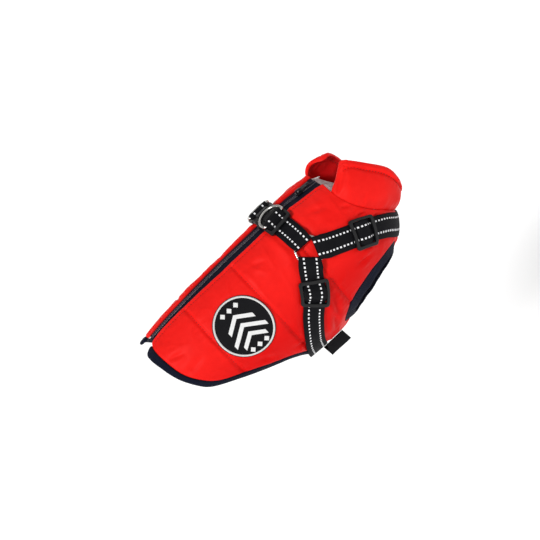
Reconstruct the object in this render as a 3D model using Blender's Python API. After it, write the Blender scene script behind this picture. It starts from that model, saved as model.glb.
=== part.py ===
"""Padded dog coat with a built-in webbing harness, filled out as worn, zip along the back.

Frame: metres, +X towards the head, +Y to the dog's left, +Z up. The origin is on the inside of
the coat's back, over the shoulders. Sizes below are in millimetres and degrees.

Every cloth piece is made from one body surface: s is the station along the body, t is the angle
round it from the spine (0) down the right side (+) or the left side (-) to the belly (180), and
height is how far a point stands out from the inside of the coat.
"""

import math

import bmesh
import bpy
from mathutils import Vector
from mathutils.geometry import delaunay_2d_cdt

MM = 0.001
GAP = 0.3

# Body: one row per section, spine point and belly point in the plane of symmetry.
# station, spine x, spine z, belly x, belly z, half width, squareness of the back (2 = oval)
SECTIONS = (
    (-215, -215, -10.0, -215, -124.5, 54, 2.0),
    (-160, -160, -3.5, -160, -135.5, 61, 2.0),
    (-80, -80, 0.0, -80, -147.5, 65, 2.0),
    (-30, -30, 0.0, -30, -149.5, 66, 2.1),
    (0, 0, 0.0, 0, -144.5, 66, 2.2),
    (25, 22, -0.5, 38, -134.5, 65, 2.4),
    (45, 38, -2.5, 68, -125.5, 61, 2.7),
    (65, 52, -4.0, 91, -112.5, 55, 3.0),
    (85, 62, -5.0, 103, -98.5, 49, 3.2),
    (100, 68, -5.5, 106, -89.5, 45, 3.2),
    (112, 73, -6.0, 107, -82.0, 42, 3.2),
)

# Wall, as heights from the inside: lining, then the padded shell with its quilt seams.
LINING = (0.0, 0.9)
SHELL_INSIDE = 1.5
SHELL_CREST = 4.8
SEAM_DEPTH = 1.3
SEAM_HALF = 2.2
EDGE_DEPTH = 0.9
EDGE_FADE = 7.0
QUILT_SEAMS = (-140.0, -71.5, -3.0)
SKIN = SHELL_CREST + 0.5

# Cut edges of the shell: angle, cut edge of the red panel, outer edge of the hem binding.
HEM = (
    (11.0, -193.0, -195.3),
    (14.5, -194.0, -203.0),
    (21.5, -194.6, -204.8),
    (36.0, -193.5, -202.5),
    (59.0, -188.7, -196.2),
    (75.0, -178.5, -187.2),
    (87.0, -164.0, -175.6),
    (98.0, -135.5, -150.2),
    (110.0, -105.0, -119.2),
    (119.0, -84.5, -95.4),
    (130.0, -72.5, -80.0),
    (142.0, -68.0, -74.8),
    (156.0, -66.0, -72.6),
    (180.0, -65.0, -71.5),
)
HEM_SEAM = 0.8
# angle, station of the neck seam
NECK = (
    (13.0, 88.0),
    (21.0, 87.0),
    (36.0, 80.0),
    (47.0, 76.2),
    (62.0, 76.2),
    (84.0, 83.8),
    (112.0, 95.0),
    (140.0, 99.0),
    (180.0, 100.0),
)
# station, half of the gap between the panels along the zip
ZIP_GAP = (
    (-206, 14.5),
    (-196, 11.5),
    (-188, 7.4),
    (-175, 7.0),
    (-120, 9.2),
    (-70, 11.4),
    (10, 13.2),
    (60, 15.5),
    (90, 18.0),
)
BELLY_EDGE = 179.8

# Armhole: centre, half sizes, and the knitted cuff that stands in it.
ARMHOLE_STATION = 20.0
ARMHOLE_ANGLE = 140.5
ARMHOLE_LENGTH = 39.0
ARMHOLE_SPREAD = 24.0
ARMHOLE_POINTS = 28
CUFF_DEPTH = 14.0
CUFF_WALL = 2.4
CUFF_STAND = 3.0

# Cloth mesh: spacing of the rows of points, and how near an edge they may come.
SHELL_STEP = 11.0
LINING_STEP = 18.0
EDGE_STEP = 9.0
EDGE_CLEAR = 0.42
ANGLE_LENGTH = 1.24

# Collar: the rim is an oval ring that stands further forward on the right side.
COLLAR_END = 36.0
COLLAR_RIM_CENTRE = (109.0, 0.0, -34.0)
COLLAR_RIM_UP = (-18.0, 0.0, 41.5)
COLLAR_RIM_SIDE = (0.0, -39.0, 0.0)
# angle, how much further forward the rim stands, how much further the wall bulges, how much higher the rim is
COLLAR_LEAN = (
    (36.0, 0.0, 0.0, 5.0),
    (60.0, 9.0, 0.0, 4.0),
    (85.0, 18.0, 0.0, 0.0),
    (110.0, 14.0, 0.0, -1.5),
    (140.0, 5.0, -2.0, -1.0),
    (180.0, 0.0, -4.0, 0.0),
    (220.0, 0.0, -3.0, 0.0),
    (270.0, -2.0, 0.0, 0.0),
    (300.0, 0.0, 4.0, 1.5),
    (324.0, 0.0, 7.0, 1.5),
)
COLLAR_RINGS = 34
COLLAR_SEAM = 1.8
THROAT_SEAM = 1.6
# part of the height, outward, part of the height, inward: the two faces of the padded wall
COLLAR_PROFILE = (
    (0.0, 1.4),
    (0.10, 4.2),
    (0.28, 6.6),
    (0.52, 7.0),
    (0.74, 5.2),
    (0.84, 3.4),
    (0.93, 4.4),
    (1.0, 2.6),
    (1.02, 0.0),
    (1.0, -2.2),
    (0.93, -3.4),
    (0.84, -2.6),
    (0.74, -3.8),
    (0.52, -4.6),
    (0.28, -4.2),
    (0.10, -2.6),
    (0.0, -1.0),
)

# Webbing and the tracks that it follows, as station and angle.
WEB_HALF = 12.5
WEB_WALL = 1.2
WEB_STEP = 8.0
RING_STATION = 0.0
RING_ANGLE = 55.0
BACK_TRACK = ((0.0, 55.0), (0.0, 38.0), (-1.4, 22.0), (-4.2, 0.0), (-5.4, -22.0), (-2.0, -38.0), (0.0, -55.0))
CHEST_TRACK = (
    (0.0, 55.0),
    (16.0, 62.5),
    (49.5, 82.0),
    (71.0, 108.0),
    (78.5, 135.0),
    (80.5, 158.0),
    (80.5, 180.0),
)
BELLY_TRACK = (
    (0.0, 55.0),
    (-13.0, 67.0),
    (-27.2, 83.0),
    (-46.9, 100.0),
    (-60.5, 122.0),
    (-63.0, 145.0),
    (-62.0, 180.0),
)

# Junction ring.
RING_RADIUS = 14.5
WIRE_RADIUS = 1.4
WIRE_SIDES = 6
RING_HEIGHT = SKIN + WEB_WALL + 0.2 + WIRE_RADIUS
LOOP_INNER = 8.0
LOOP_HALF = 8.4
LOOP_GATHER = (12.0, 20.0)
LOOP_LENGTH = 14.0

# Three-bar slider on the webbing: half length, half width, bars and heights over the skin.
GLIDE_HALF = 14.5
GLIDE_WIDE = 16.0
GLIDE_RAIL = 3.2
GLIDE_BAR = 2.6
GLIDE_END = 3.4
GLIDE_LOW = 1.6
GLIDE_TOP = 4.4
GLIDE_BAR_TOP = 3.6
CHEST_GLIDE = 64.5
BELLY_GLIDE = 47.0

# Side-release buckle over the spine and the D-rings in its webbing loops.
BUCKLE_SPLIT = 1.0
BUCKLE_HALF = 16.0
BUCKLE_END = 32.0
BUCKLE_RAIL = 2.8
BUCKLE_BODY_END = 13.0
BUCKLE_TOP = 7.4
# from and to along the strap, half width: the crown of the socket, inside the D-ring that lies over it
BUCKLE_DOME = ((6.5, 13.0, 8.2), (4.2, 6.5, 5.0))
FRAME_LOW = 2.4
FRAME_TOP = 5.6
LOOP_BAR = (17.0, 21.0)
END_BAR = 27.8
DEE_AT = 19.3
DEE_HALF = 14.8
DEE_ARM = 5.0
DEE_WIRE = 1.4
DEE_HEIGHT = FRAME_TOP + 0.4 + DEE_WIRE

# Zip.
COIL_HALF = 2.6
COIL = (1.6, 3.7)
TAPE = (1.7, 2.7)
TAPE_SEAM = 0.9
ZIP_TAIL = -189.0
ZIP_NECK = 84.0
SLIDER_AT = 46.0
PULL_LENGTH = 23.0
PULL_PIVOT = 1.4
PULL_HEIGHT = 6.6

# Patch and label.
PATCH_STATION = -106.3
PATCH_ANGLE = 63.8
PATCH_RADIUS = 32.7
PATCH_WALL = 1.0
PATCH_RIM = 2.8
LABEL_X = (-57.5, -28.5)
LABEL_ANGLE = 147.0
LABEL_DROP = 15.5
LABEL_WALL = 1.0

COLOURS = {
    "nylon_red": ((0.90, 0.015, 0.012), 0.55, 0.0),
    "fleece_white": ((0.72, 0.66, 0.66), 0.95, 0.0),
    "rib_navy": ((0.010, 0.014, 0.035), 0.85, 0.0),
    "webbing_black": ((0.012, 0.012, 0.014), 0.80, 0.0),
    "plastic_black": ((0.015, 0.015, 0.017), 0.40, 0.0),
    "steel": ((0.62, 0.63, 0.65), 0.25, 1.0),
    "patch_black": ((0.010, 0.010, 0.012), 0.60, 0.0),
    "patch_white": ((0.80, 0.80, 0.80), 0.60, 0.0),
}


def row_at(rows, x):
    """Smooth curve through a table: every column after the first, at x."""
    x = min(max(x, rows[0][0]), rows[-1][0])
    last = len(rows) - 1
    i = 0
    while i < last - 1 and x > rows[i + 1][0]:
        i += 1
    span = rows[i + 1][0] - rows[i][0]
    q = (x - rows[i][0]) / span
    found = []
    for column in range(1, len(rows[0])):

        def slope(j):
            before, after = max(j - 1, 0), min(j + 1, last)
            return (rows[after][column] - rows[before][column]) / (rows[after][0] - rows[before][0])

        start, end = rows[i][column], rows[i + 1][column]
        m0, m1 = slope(i) * span, slope(i + 1) * span
        found.append(
            (2 * q**3 - 3 * q * q + 1) * start
            + (q**3 - 2 * q * q + q) * m0
            + (-2 * q**3 + 3 * q * q) * end
            + (q**3 - q * q) * m1
        )
    return found


def inside_point(s, t):
    """Point on the inside of the coat."""
    spine_x, spine_z, belly_x, belly_z, half, square = row_at(SECTIONS, s)
    angle = math.radians(t)
    up, side = math.cos(angle), math.sin(angle)
    power = 2 + (square - 2) * max(0.0, up)
    reach = (abs(up) ** power + abs(side) ** power) ** (-1 / power)
    beyond = s - min(max(s, SECTIONS[0][0]), SECTIONS[-1][0])
    return Vector(
        (
            (spine_x + belly_x) / 2 + (spine_x - belly_x) / 2 * up * reach + beyond,
            -half * side * reach,
            (spine_z + belly_z) / 2 + (spine_z - belly_z) / 2 * up * reach,
        )
    )


def directions(s, t):
    """Derivatives of the inside surface by s and t, and its outward normal."""
    along = inside_point(s + 0.5, t) - inside_point(s - 0.5, t)
    around = inside_point(s, t + 0.5) - inside_point(s, t - 0.5)
    return along, around, along.cross(around).normalized()


def coat(s, t, height):
    """Point that stands out by height from the inside of the coat."""
    normal = directions(s, t)[2]
    centre = (inside_point(s, 0) + inside_point(s, 180)) / 2
    point = inside_point(s, t)
    if normal.dot(point - centre) < 0:
        normal = -normal
    return point + normal * height


def edge_angle(s, half_gap):
    """Angle at which the inside surface is half_gap from the plane of symmetry, near the spine."""
    low, high = 0.0, 60.0
    for _ in range(30):
        middle = (low + high) / 2
        if -inside_point(s, middle).y < half_gap:
            low = middle
        else:
            high = middle
    return low


def material(name):
    """The Principled material of that name."""
    found = bpy.data.materials.get(name)
    if found:
        return found
    colour, roughness, metallic = COLOURS[name]
    found = bpy.data.materials.new(name)
    found.use_nodes = True
    shader = found.node_tree.nodes["Principled BSDF"]
    shader.inputs["Base Color"].default_value = (*colour, 1.0)
    shader.inputs["Roughness"].default_value = roughness
    shader.inputs["Metallic"].default_value = metallic
    found.diffuse_color = (*colour, 1.0)
    return found


def finish(bm, name, finish_name, smooth=True):
    """Object from a bmesh in millimetres, its faces turned outwards."""
    bmesh.ops.recalc_face_normals(bm, faces=bm.faces)
    bmesh.ops.scale(bm, vec=(MM, MM, MM), verts=bm.verts)
    mesh = bpy.data.meshes.new(name)
    bm.to_mesh(mesh)
    bm.free()
    for face in mesh.polygons:
        face.use_smooth = smooth
    mesh.materials.append(material(finish_name))
    obj = bpy.data.objects.new(name, mesh)
    COAT.objects.link(obj)
    return obj


def loft(name, rings, finish_name, closed=False, smooth=True):
    """Solid through rings of points: capped at its ends, or closed into a loop."""
    bm = bmesh.new()
    made = [[bm.verts.new(point) for point in ring] for ring in rings]
    pairs = list(zip(made, made[1:]))
    if closed:
        pairs.append((made[-1], made[0]))
    count = len(made[0])
    for one, two in pairs:
        for i in range(count):
            j = (i + 1) % count
            bm.faces.new((one[i], one[j], two[j], two[i]))
    if not closed:
        bm.faces.new(made[0][::-1])
        bm.faces.new(made[-1])
    return finish(bm, name, finish_name, smooth)


def blocks(name, boxes, place, finish_name, most=12.0):
    """Solid from boxes (q0, q1, p0, p1, h0, h1, filled), later rows over earlier, placed by place."""

    def lines(a, b):
        marks = sorted({row[a] for row in boxes} | {row[b] for row in boxes})
        found = [marks[0]]
        for low, high in zip(marks, marks[1:]):
            parts = max(1, math.ceil((high - low) / most))
            found += [low + (high - low) * k / parts for k in range(1, parts + 1)]
        return found

    qs, ps, hs = lines(0, 1), lines(2, 3), lines(4, 5)

    def solid(i, j, k):
        if not (0 <= i < len(qs) - 1 and 0 <= j < len(ps) - 1 and 0 <= k < len(hs) - 1):
            return False
        q, p, h = (qs[i] + qs[i + 1]) / 2, (ps[j] + ps[j + 1]) / 2, (hs[k] + hs[k + 1]) / 2
        state = False
        for q0, q1, p0, p1, h0, h1, filled in boxes:
            if q0 < q < q1 and p0 < p < p1 and h0 < h < h1:
                state = filled
        return state

    bm = bmesh.new()
    made = {}

    def corner(i, j, k):
        if (i, j, k) not in made:
            made[i, j, k] = bm.verts.new(place(qs[i], ps[j], hs[k]))
        return made[i, j, k]

    sides = (
        ((1, 0, 0), ((1, 0, 0), (1, 1, 0), (1, 1, 1), (1, 0, 1))),
        ((-1, 0, 0), ((0, 0, 0), (0, 0, 1), (0, 1, 1), (0, 1, 0))),
        ((0, 1, 0), ((0, 1, 0), (0, 1, 1), (1, 1, 1), (1, 1, 0))),
        ((0, -1, 0), ((0, 0, 0), (1, 0, 0), (1, 0, 1), (0, 0, 1))),
        ((0, 0, 1), ((0, 0, 1), (1, 0, 1), (1, 1, 1), (0, 1, 1))),
        ((0, 0, -1), ((0, 0, 0), (0, 1, 0), (1, 1, 0), (1, 0, 0))),
    )
    for i in range(len(qs) - 1):
        for j in range(len(ps) - 1):
            for k in range(len(hs) - 1):
                if not solid(i, j, k):
                    continue
                for (di, dj, dk), corners in sides:
                    if not solid(i + di, j + dj, k + dk):
                        bm.faces.new([corner(i + a, j + b, k + c) for a, b, c in corners])
    return finish(bm, name, finish_name, smooth=False)


def inside_outline(point, outline):
    """Whether a point of the cutting plane lies inside a closed outline."""
    x, y = point
    inside = False
    for (x0, y0), (x1, y1) in zip(outline, outline[1:] + outline[:1]):
        if (y0 > y) != (y1 > y) and x < x0 + (y - y0) / (y1 - y0) * (x1 - x0):
            inside = not inside
    return inside


def outline_distance(point, outline):
    """Distance in the cutting plane from a point to an outline."""
    best = math.inf
    x, y = point
    for (x0, y0), (x1, y1) in zip(outline, outline[1:] + outline[:1]):
        dx, dy = x1 - x0, y1 - y0
        q = min(1.0, max(0.0, ((x - x0) * dx + (y - y0) * dy) / (dx * dx + dy * dy)))
        best = min(best, math.hypot(x - x0 - q * dx, y - y0 - q * dy))
    return best


def steps(start, end, size):
    """Even values from start up to, but not including, end."""
    parts = max(1, round(abs(end - start) / size))
    return [start + (end - start) * k / parts for k in range(parts)]


def panel_outline(step):
    """Outer edge of a shell panel in the cutting plane: station, and angle as a length."""
    first = next(s for s in range(-206, 0) if edge_angle(s, row_at(ZIP_GAP, s)[0]) < HEM[0][0])
    zip_edge = [(s, edge_angle(s, row_at(ZIP_GAP, s)[0])) for s in steps(first + 11, 80, step)]
    neck_start = edge_angle(82, row_at(ZIP_GAP, 82)[0])
    neck = [(row_at(NECK, t)[0], t) for t in steps(neck_start, BELLY_EDGE, step / ANGLE_LENGTH)]
    belly = [(s, BELLY_EDGE) for s in steps(row_at(NECK, 180)[0], HEM[-1][1], step)]
    hem = [(row_at(HEM, t)[0], t) for t in steps(BELLY_EDGE, 20, 0.8 * step / ANGLE_LENGTH)]
    corner = [(row_at(HEM, t)[0], t) for t in (20, 15.5)]
    return [(s, t * ANGLE_LENGTH) for s, t in zip_edge + neck + belly + hem + corner]


def armhole_outline(count, grow=0.0):
    """Cut edge of the armhole in the cutting plane."""
    found = []
    for k in range(count):
        turn = 2 * math.pi * k / count
        s = ARMHOLE_STATION + (ARMHOLE_LENGTH + grow) * math.cos(turn)
        w = ARMHOLE_ANGLE * ANGLE_LENGTH + (ARMHOLE_SPREAD * ANGLE_LENGTH + grow) * math.sin(turn)
        found.append((s, w))
    return found


def shell_height(s, t, outline):
    """Height of the shell's outer face: puffed, sunk along the quilt seams and the edges."""
    sink = 0.0
    for seam in QUILT_SEAMS:
        away = abs(s - seam)
        sink = max(sink, SEAM_DEPTH * math.exp(-((away / (1.6 * SEAM_HALF)) ** 2)))
    edge = outline_distance((s, t * ANGLE_LENGTH), outline)
    sink = max(sink, EDGE_DEPTH * max(0.0, 1 - edge / EDGE_FADE))
    return SHELL_CREST - sink


def cloth_panel(name, side, step, heights, finish_name, seams=()):
    """Panel cut to the outline with its armhole: heights gives both faces at a point."""
    outline = panel_outline(EDGE_STEP)
    hole = armhole_outline(ARMHOLE_POINTS)
    columns = set()
    marks = [-206.0, *sorted(seams), 100.0] if seams else [-206.0, 100.0]
    for low, high in zip(marks, marks[1:]):
        low, high = (low + SEAM_HALF if low in seams else low), (high - SEAM_HALF if high in seams else high)
        columns |= {round(value, 3) for value in steps(low, high, step)} | {high}
    columns |= set(seams)
    rows = [t * ANGLE_LENGTH for t in steps(8.0, 178.0, step / ANGLE_LENGTH)]
    clear = EDGE_CLEAR * step
    points = []
    for s in sorted(columns):
        for w in rows:
            if not inside_outline((s, w), outline) or inside_outline((s, w), hole):
                continue
            if min(outline_distance((s, w), outline), outline_distance((s, w), hole)) > clear:
                points.append((s, w))
    border = len(outline)
    flat = [Vector(point) for point in outline + hole + points]
    loops = [(i, (i + 1) % border) for i in range(border)]
    loops += [(border + i, border + (i + 1) % len(hole)) for i in range(len(hole))]
    places, _, triangles, origins, _, _ = delaunay_2d_cdt(flat, loops, [], 1, 1e-5)
    kept = []
    for triangle in triangles:
        middle = sum((places[i] for i in triangle), Vector((0, 0))) / 3
        if inside_outline(middle, outline) and not inside_outline(middle, hole):
            kept.append(list(triangle))
    bm = bmesh.new()
    faces = {}
    used = sorted({i for triangle in kept for i in triangle})
    for i in used:
        s, t = places[i].x, places[i].y / ANGLE_LENGTH
        low, high = heights(s, t, outline)
        faces[i] = (bm.verts.new(coat(s, side * t, low)), bm.verts.new(coat(s, side * t, high)))
    borders = {}
    for a, b, c in kept:
        bm.faces.new((faces[a][1], faces[b][1], faces[c][1]))
        bm.faces.new((faces[c][0], faces[b][0], faces[a][0]))
        for edge in ((a, b), (b, c), (c, a)):
            borders[edge] = True
    for a, b in borders:
        if (b, a) not in borders:
            bm.faces.new((faces[b][1], faces[a][1], faces[a][0], faces[b][0]))
    return finish(bm, name, finish_name)


def make_shell():
    """Quilted shell panels and the lining inside them."""
    for label, side in SIDES:
        cloth_panel(
            "shell_" + label,
            side,
            SHELL_STEP,
            lambda s, t, outline: (SHELL_INSIDE, shell_height(s, t, outline)),
            "nylon_red",
            QUILT_SEAMS,
        )
        cloth_panel("lining_" + label, side, LINING_STEP, lambda s, t, outline: LINING, "fleece_white")


def band_profile(low, high, soft):
    """Cross-section of a folded band: part of its width and height, outer edge rounded."""
    middle = (low + high) / 2
    return (
        (0.0, low),
        (0.0, high - 0.4),
        (0.30, high),
        (0.75, high - 0.2 * soft),
        (1.0, middle + 0.6),
        (1.0, middle - 0.6),
        (0.8, low),
    )


def make_hem():
    """Folded binding beyond the cut edge, from the zip end round to the belly seam."""
    profile = band_profile(0.6, SHELL_CREST - 0.2, 1.0)
    angles = [12.6, 14.5, 17, 20, 24, 30] + steps(37, BELLY_EDGE, 6.5) + [BELLY_EDGE]
    for label, side in SIDES:
        rings = []
        for t in angles:
            cut, hem = row_at(HEM, t)
            cut -= HEM_SEAM
            hem = min(hem, cut - 1.5)
            rings.append([coat(cut + (hem - cut) * part, side * t, height) for part, height in profile])
        loft("hem_binding_" + label, rings, "rib_navy")


def make_cuffs():
    """Knitted cuff in each armhole, from the cut edge towards the middle of the opening."""
    centre = (ARMHOLE_STATION, ARMHOLE_ANGLE * ANGLE_LENGTH)
    for label, side in SIDES:
        rings = []
        for s, w in armhole_outline(ARMHOLE_POINTS + 4, -GAP):
            t = w / ANGLE_LENGTH
            low, high = coat(s, side * t, 0.9), coat(s, side * t, 0.9 + CUFF_WALL)
            out = (high - low).normalized()
            along, around, _ = directions(s, side * t)
            towards = along * (centre[0] - s) + around * side * (centre[1] - w) / ANGLE_LENGTH
            towards = (towards - out * towards.dot(out)).normalized()
            length = CUFF_DEPTH
            rise = CUFF_STAND
            rings.append(
                [
                    low + towards * 0.2,
                    high + towards * 0.2 + out * 0.7,
                    high + towards * length * 0.5 + out * (0.9 + rise * 0.35),
                    high + towards * length * 0.94 + out * rise,
                    low + towards * length + out * (rise + CUFF_WALL * 0.5),
                    low + towards * length * 0.94 + out * rise,
                    low + towards * length * 0.5 + out * rise * 0.35,
                ]
            )
        loft("armhole_cuff_" + label, rings, "rib_navy", closed=True)


def make_collar():
    """Padded stand collar round the neck seam, open at the nape."""
    centre = Vector(COLLAR_RIM_CENTRE)
    up, side = Vector(COLLAR_RIM_UP), Vector(COLLAR_RIM_SIDE)
    rings = []
    for k in range(COLLAR_RINGS + 1):
        part = k / COLLAR_RINGS
        t = COLLAR_END + (360 - 2 * COLLAR_END) * part
        near = t if t <= 180 else 360 - t
        foot = coat(row_at(NECK, near)[0] + COLLAR_SEAM + THROAT_SEAM * math.sin(math.radians(t / 2)) ** 4, t, 2.6)
        turn = math.radians(t)
        rim = centre + up * math.cos(turn) + side * math.sin(turn)
        forward, bulge_more, higher = row_at(COLLAR_LEAN, t)
        rim += Vector((forward, 0.0, higher))
        height = rim - foot
        tangent = (-up * math.sin(turn) + side * math.cos(turn)).normalized()
        out = height.cross(tangent).normalized()
        if out.dot(rim - centre) < 0:
            out = -out
        end = min(part, 1 - part) * COLLAR_RINGS
        puff = (0.45, 0.72, 0.9)[int(end)] if end < 3 else 1.0
        fold = 1.0 + 0.10 * math.sin(math.radians(t) * 9)
        ring = []
        for rise, thick in COLLAR_PROFILE:
            bulge = thick * puff * (fold if 0.05 < rise < 0.8 else 1.0)
            bulge += bulge_more * math.sin(math.pi * min(rise, 1.0) ** 0.8)
            ring.append(foot + height * rise + out * bulge)
        rings.append(ring)
    loft("collar", rings, "nylon_red")


class Track:
    """Route over the coat that webbing and its hardware follow, measured from its start."""

    def __init__(self, points, mirrored=False, middle=0.0):
        rows = list(points)
        if mirrored:
            rows += [(s, 360 - t) for s, t in points[-2::-1]]
        table = [(float(i), s, t) for i, (s, t) in enumerate(rows)]
        count = 24 * (len(rows) - 1)
        self.rows = []
        length = 0.0
        before = None
        for k in range(count + 1):
            s, t = row_at(table, k * (len(rows) - 1) / count)
            point = coat(s, t, SKIN)
            if before is not None:
                length += (point - before).length
            before = point
            self.rows.append([length, s, t])
        self.length = length
        self.middle = middle * length
        for i, row in enumerate(self.rows):
            ahead, behind = self.rows[min(i + 1, count)], self.rows[max(i - 1, 0)]
            s, t = row[1], row[2]
            along, around, normal = directions(s, t)
            forward = along * (ahead[1] - behind[1]) + around * (ahead[2] - behind[2])
            across = normal.cross(forward).normalized()
            ee, ef, ff = along.dot(along), along.dot(around), around.dot(around)
            xe, xf = across.dot(along), across.dot(around)
            lost = ee * ff - ef * ef
            row += [(xe * ff - xf * ef) / lost, (xf * ee - xe * ef) / lost]

    def point(self, q, p, h):
        """Point q along the route from its middle mark, p across it and h over the skin."""
        q += self.middle
        rows = self.rows
        i = 0
        while i < len(rows) - 2 and q > rows[i + 1][0]:
            i += 1
        one, two = rows[i], rows[i + 1]
        f = (q - one[0]) / (two[0] - one[0])
        s, t, s_step, t_step = (a + (b - a) * f for a, b in zip(one[1:], two[1:]))
        return coat(s + p * s_step, t + p * t_step, SKIN + h)


def web_half(q, ring_places):
    """Half width of webbing at q: gathered where it loops round a junction ring."""
    near, far = LOOP_GATHER
    away = min(abs(q - place) for place in ring_places)
    part = min(1.0, max(0.0, (away - near) / (far - near)))
    return LOOP_HALF + (WEB_HALF - LOOP_HALF) * part * part * (3 - 2 * part)


def ribbon(name, track, route, ring_places, lateral=4):
    """Webbing along (q, h) points of a track, h at the middle of its thickness."""
    rings = []
    last = len(route) - 1
    for i, (q, h) in enumerate(route):
        half = web_half(q, ring_places)
        across = [-half + 2 * half * k / lateral for k in range(lateral + 1)]
        q0, h0 = route[max(i - 1, 0)]
        q1, h1 = route[min(i + 1, last)]
        run = math.hypot(q1 - q0, h1 - h0)
        nq, nh = -(h1 - h0) / run, (q1 - q0) / run
        reach = WEB_WALL / 2
        if 0 < i < last:
            before = Vector((q - q0, h - h0)).normalized()
            after = Vector((q1 - q, h1 - h)).normalized()
            reach /= max(0.5, math.sqrt((1 + before.dot(after)) / 2))
        upper = [track.point(q + nq * reach, p, h + nh * reach) for p in across]
        lower = [track.point(q - nq * reach, p, h - nh * reach) for p in across]
        rings.append(upper + lower[::-1])
    loft(name, rings, "webbing_black", smooth=False)


def straight(q0, h0, q1, h1, step=WEB_STEP):
    """Points from one (q, h) to another, the last left out."""
    parts = max(1, round(abs(q1 - q0) / step))
    return [(q0 + (q1 - q0) * k / parts, h0 + (h1 - h0) * k / parts) for k in range(parts)]


def ring_loop(end, sign):
    """Hairpin round the junction ring: from under the ring to over it. end is the ring's centre."""
    low = WEB_WALL / 2
    high = RING_HEIGHT - SKIN + WIRE_RADIUS + 0.2 + WEB_WALL / 2
    inner, outer = LOOP_INNER, LOOP_INNER + LOOP_LENGTH
    turn = (high - low) / 2
    middle = (high + low) / 2
    bend = [
        (inner + turn - turn * math.sin(math.radians(a)), middle - turn * math.cos(math.radians(a)))
        for a in (30, 70, 110, 150)
    ]
    points = [(outer + 4, low), (outer - 4, low), (inner + turn, low), *bend, (inner + turn, high), (outer - 3.5, high)]
    return [(end + sign * q, h) for q, h in points]


def glide_hump(q):
    """Rise of the webbing over the middle bar of a slider at q."""
    low = WEB_WALL / 2
    high = GLIDE_BAR_TOP + 0.3 + WEB_WALL / 2
    reach = GLIDE_BAR + 0.3 + WEB_WALL / 2
    end = GLIDE_HALF - GLIDE_END - WEB_WALL / 2 - 0.8
    return [(q - end, low), (q - reach, high), (q + reach, high), (q + end, low)]


def join_ring(h_over=WEB_WALL * 1.5 + GAP):
    """Where the upper layer of a ring's hairpin comes down on the lower one."""
    return LOOP_INNER + LOOP_LENGTH + 1.5, h_over


def glide(name, track, q):
    """Three-bar slider round the webbing at q of a track."""
    rail = GLIDE_WIDE - GLIDE_RAIL
    a, b = q - GLIDE_HALF, q + GLIDE_HALF
    boxes = (
        (a, b, -GLIDE_WIDE, GLIDE_WIDE, GLIDE_LOW, GLIDE_TOP, True),
        (a + GLIDE_END, b - GLIDE_END, -rail, rail, GLIDE_LOW, GLIDE_TOP, False),
        (q - GLIDE_BAR, q + GLIDE_BAR, -rail, rail, GLIDE_LOW, GLIDE_BAR_TOP, True),
    )
    blocks(name, boxes, track.point, "plastic_black")


def make_harness():
    """Webbing, junction rings, sliders, buckle and D-rings."""
    low = WEB_WALL / 2
    over_q, over_h = join_ring()
    back = Track(BACK_TRACK, middle=0.5)
    half = back.length / 2
    bar0, bar1 = LOOP_BAR
    top = DEE_HEIGHT + DEE_WIRE + 0.2 + low
    for sign, label in ((-1, "right"), (1, "left")):
        route = ring_loop(half, -1)
        route += [(half - over_q, over_h), (BUCKLE_END + 5.0, 1.35)]
        route += [(END_BAR + 0.8, 1.35), (END_BAR - 1.6, 2.0), (bar1 + 2.0, 6.4), (bar1 + 0.6, top - 0.4)]
        route += [(bar1 - 1.2, top), (bar0 + 0.8, top), (bar0 - 0.7, top - 1.0), (bar0 - 1.7, 6.4)]
        route += [(bar0 - 1.7, 2.2), (bar0 - 0.6, 0.9), (bar0 + 1.6, 0.5), (bar1 + 1.5, 0.5)]
        ribbon("back_strap_" + label, back, [(sign * q, h) for q, h in route], (-half, half))
    for name, points, place in (("chest", CHEST_TRACK, CHEST_GLIDE), ("belly", BELLY_TRACK, BELLY_GLIDE)):
        track = Track(points, mirrored=True, middle=0.5)
        half = track.length / 2
        first = ring_loop(-half, 1)
        humps = glide_hump(place - half)
        route = first + [(over_q - half, over_h)]
        route += [(over_q - half + 5.0, low)] + straight(over_q - half + 11.0, low, humps[0][0] - 1.0, low)
        route += humps
        route += straight(humps[-1][0] + 5.0, low, 0.0, low)
        route += [(0.0, low)] + [(-q, h) for q, h in route[::-1]]
        ribbon(name + "_strap", track, route, (-half, half))
        glide(name + "_slider_right", track, place - half)
        glide(name + "_slider_left", track, half - place)
    for label, side in SIDES:
        rings = []
        scale_t = directions(RING_STATION, side * RING_ANGLE)[1].length
        for k in range(24):
            turn = 2 * math.pi * k / 24
            ring = []
            for m in range(WIRE_SIDES):
                roll = 2 * math.pi * m / WIRE_SIDES
                radius = RING_RADIUS + WIRE_RADIUS * math.cos(roll)
                s = RING_STATION + radius * math.cos(turn)
                t = RING_ANGLE + radius * math.sin(turn) / scale_t
                ring.append(coat(s, side * t, RING_HEIGHT + WIRE_RADIUS * math.sin(roll)))
            rings.append(ring)
        loft("junction_ring_" + label, rings, "steel", closed=True)
    make_buckle(back)


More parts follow.
